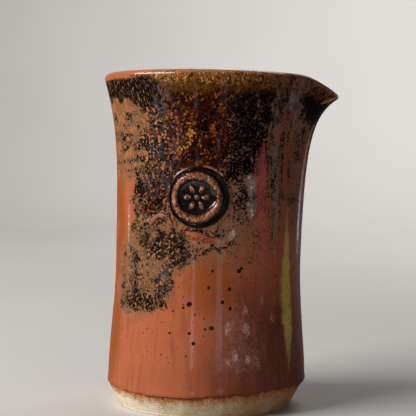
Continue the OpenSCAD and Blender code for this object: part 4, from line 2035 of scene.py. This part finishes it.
@dataclass(frozen=True)
class Softbox:
    """A soft lamp, placed by its turn round the jug and its distance."""

    name: str
    turn: float
    distance: float
    height: float
    width: float
    tall: float
    watts: float
    aim: Tuple[float, float, float] = (0.0, 0.0, 68 * MM)
    jug_only: bool = False

    def hang(self) -> None:
        """Add the lamp."""
        lamp = bpy.data.lights.new(self.name, "AREA")
        lamp.shape, lamp.size, lamp.size_y, lamp.energy = "RECTANGLE", self.width, self.tall, self.watts
        holder = bpy.data.objects.new(self.name, lamp)
        angle = math.radians(self.turn - 90)
        holder.location = (self.distance * math.cos(angle), self.distance * math.sin(angle), self.height)
        holder.visible_camera = False
        holder.rotation_euler = (Vector(self.aim) - holder.location).to_track_quat("-Z", "Y").to_euler()
        bpy.context.scene.collection.objects.link(holder)


@dataclass(frozen=True)
class StudioPaint(Finish):
    """Pale matt paint of the floor and backdrop."""

    name: str = "pale_floor"
    relief_depth: float = 0.1 * MM
    pale: Colour = srgb(222, 219, 215)
    shade: Colour = srgb(214, 211, 207)
    bounce: Colour = srgb(136, 128, 120)

    def look(self, bench: Bench) -> Look:
        """Pale paint with a faint cloud in it, which throws little light back on the jug.

        Args:
            bench: Where the nodes go.

        Returns:
            Colour, roughness and relief.
        """
        cloud = bench.grain(self.place(bench), 160, 1.0, 2.0)
        rays = bench.node("ShaderNodeLightPath").outputs
        shown = Value(bench, rays["Is Camera Ray"]).most(Value(bench, rays["Is Glossy Ray"]))
        shown = shown.most(Value(bench, rays["Is Transmission Ray"]))
        colour = bench.mix(shown, self.bounce, bench.mix(cloud, self.pale, self.shade))
        return Look(colour, 0.9 + cloud * 0.05, cloud)


@dataclass(frozen=True)
class Studio:
    """Floor, backdrop, lamps and camera."""

    lens_px: float = 1195.0
    frame_px: float = 416.0
    sensor: float = 36.0
    eye: Tuple[float, float, float] = (-0.5 * MM, -496 * MM, 101.6 * MM)
    pitch: float = math.radians(2.424)
    roll: float = 0.0185
    boxes: Tuple[Softbox, ...] = (
        Softbox("key_window", -66, 0.9, 0.52, 0.85, 0.3, 13.2),
        Softbox("glint_left", -16.2, 0.249, 0.03, 0.014, 0.042, 0.02, jug_only=True),
        Softbox("glint_right", 12.8, 0.249, 0.03, 0.03, 0.048, 0.022, jug_only=True),
        Softbox("edge_strip", 140, 0.9, 0.06, 0.1, 0.12, 0.22),
        Softbox("backdrop_wash", 150, 0.9, 1.3, 0.8, 0.4, 16.0, (0.7, 1.6, 0.35)))
    sky: float = 0.06
    SWEEP = "studio_sweep"

    def build(self) -> None:
        """Set up the floor, the light and the camera."""
        self.sweep()
        for box in self.boxes:
            box.hang()
        world = bpy.data.worlds.new("soft_sky")
        world.use_nodes = True
        world.node_tree.nodes.clear()
        bench = Bench(world.node_tree)
        sky = bench.node("ShaderNodeBackground", None, {
            "Color": (1.0, 1.0, 1.0, 1.0), "Strength": self.sky})
        bench.node("ShaderNodeOutputWorld", None, {"Surface": sky.outputs[0]})
        bpy.context.scene.world = world
        bpy.context.scene.view_settings.view_transform = "Standard"
        self.camera()

    def shield_floor(self) -> None:
        """Keep the small lamps that stand close to the jug from lighting the floor."""
        jug = bpy.data.collections.new("jug_pieces")
        for piece in bpy.context.scene.objects:
            if piece.type == "MESH" and piece.name != self.SWEEP:
                jug.objects.link(piece)
        for box in self.boxes:
            if box.jug_only:
                bpy.data.objects[box.name].light_linking.receiver_collection = jug

    def sweep(self) -> None:
        """Lay a floor that curves up into a backdrop."""
        half, front, back, bend, top = 3.0, -3.0, 1.6, 0.5, 2.4
        profile = [(front, 0.0), (back - bend, 0.0)]
        profile += [(back - bend + bend * math.sin(a), bend * (1 - math.cos(a)))
                    for a in (math.pi / 2 * i / 12 for i in range(1, 13))]
        profile.append((back, top))
        points = [(side * half, y, z) for y, z in profile for side in (-1, 1)]
        faces = [(2 * i, 2 * i + 1, 2 * i + 3, 2 * i + 2) for i in range(len(profile) - 1)]
        mesh = bpy.data.meshes.new(self.SWEEP)
        mesh.from_pydata(points, [], faces)
        mesh.shade_smooth()
        mesh.materials.append(StudioPaint().material())
        sweep = bpy.data.objects.new(self.SWEEP, mesh)
        bpy.context.scene.collection.objects.link(sweep)

    def camera(self) -> None:
        """Put the camera where the picture was taken from."""
        data = bpy.data.cameras.new("camera")
        data.sensor_fit, data.sensor_width = "HORIZONTAL", self.sensor
        data.lens = self.lens_px / self.frame_px * self.sensor
        data.clip_start = 0.01
        camera = bpy.data.objects.new("camera", data)
        turn = Matrix.Rotation(math.pi / 2 - self.pitch, 4, "X") @ Matrix.Rotation(self.roll, 4, "Z")
        camera.matrix_world = Matrix.Translation(self.eye) @ turn
        bpy.context.scene.collection.objects.link(camera)
        bpy.context.scene.camera = camera


def main() -> None:
    """Build the jug and its studio."""
    logging.basicConfig(level=logging.INFO, format="%(name)s: %(message)s")
    law = WallLaw()
    seal = SealPlace(law)
    wheel = ThrowingWheel(law)
    studio = Studio()
    studio.build()
    ThrownBody(wheel, seal).build()
    GlazeCoats(wheel, seal).build()
    StampedSeal(seal).build()
    studio.shield_floor()


if __name__ == "__main__":
    main()
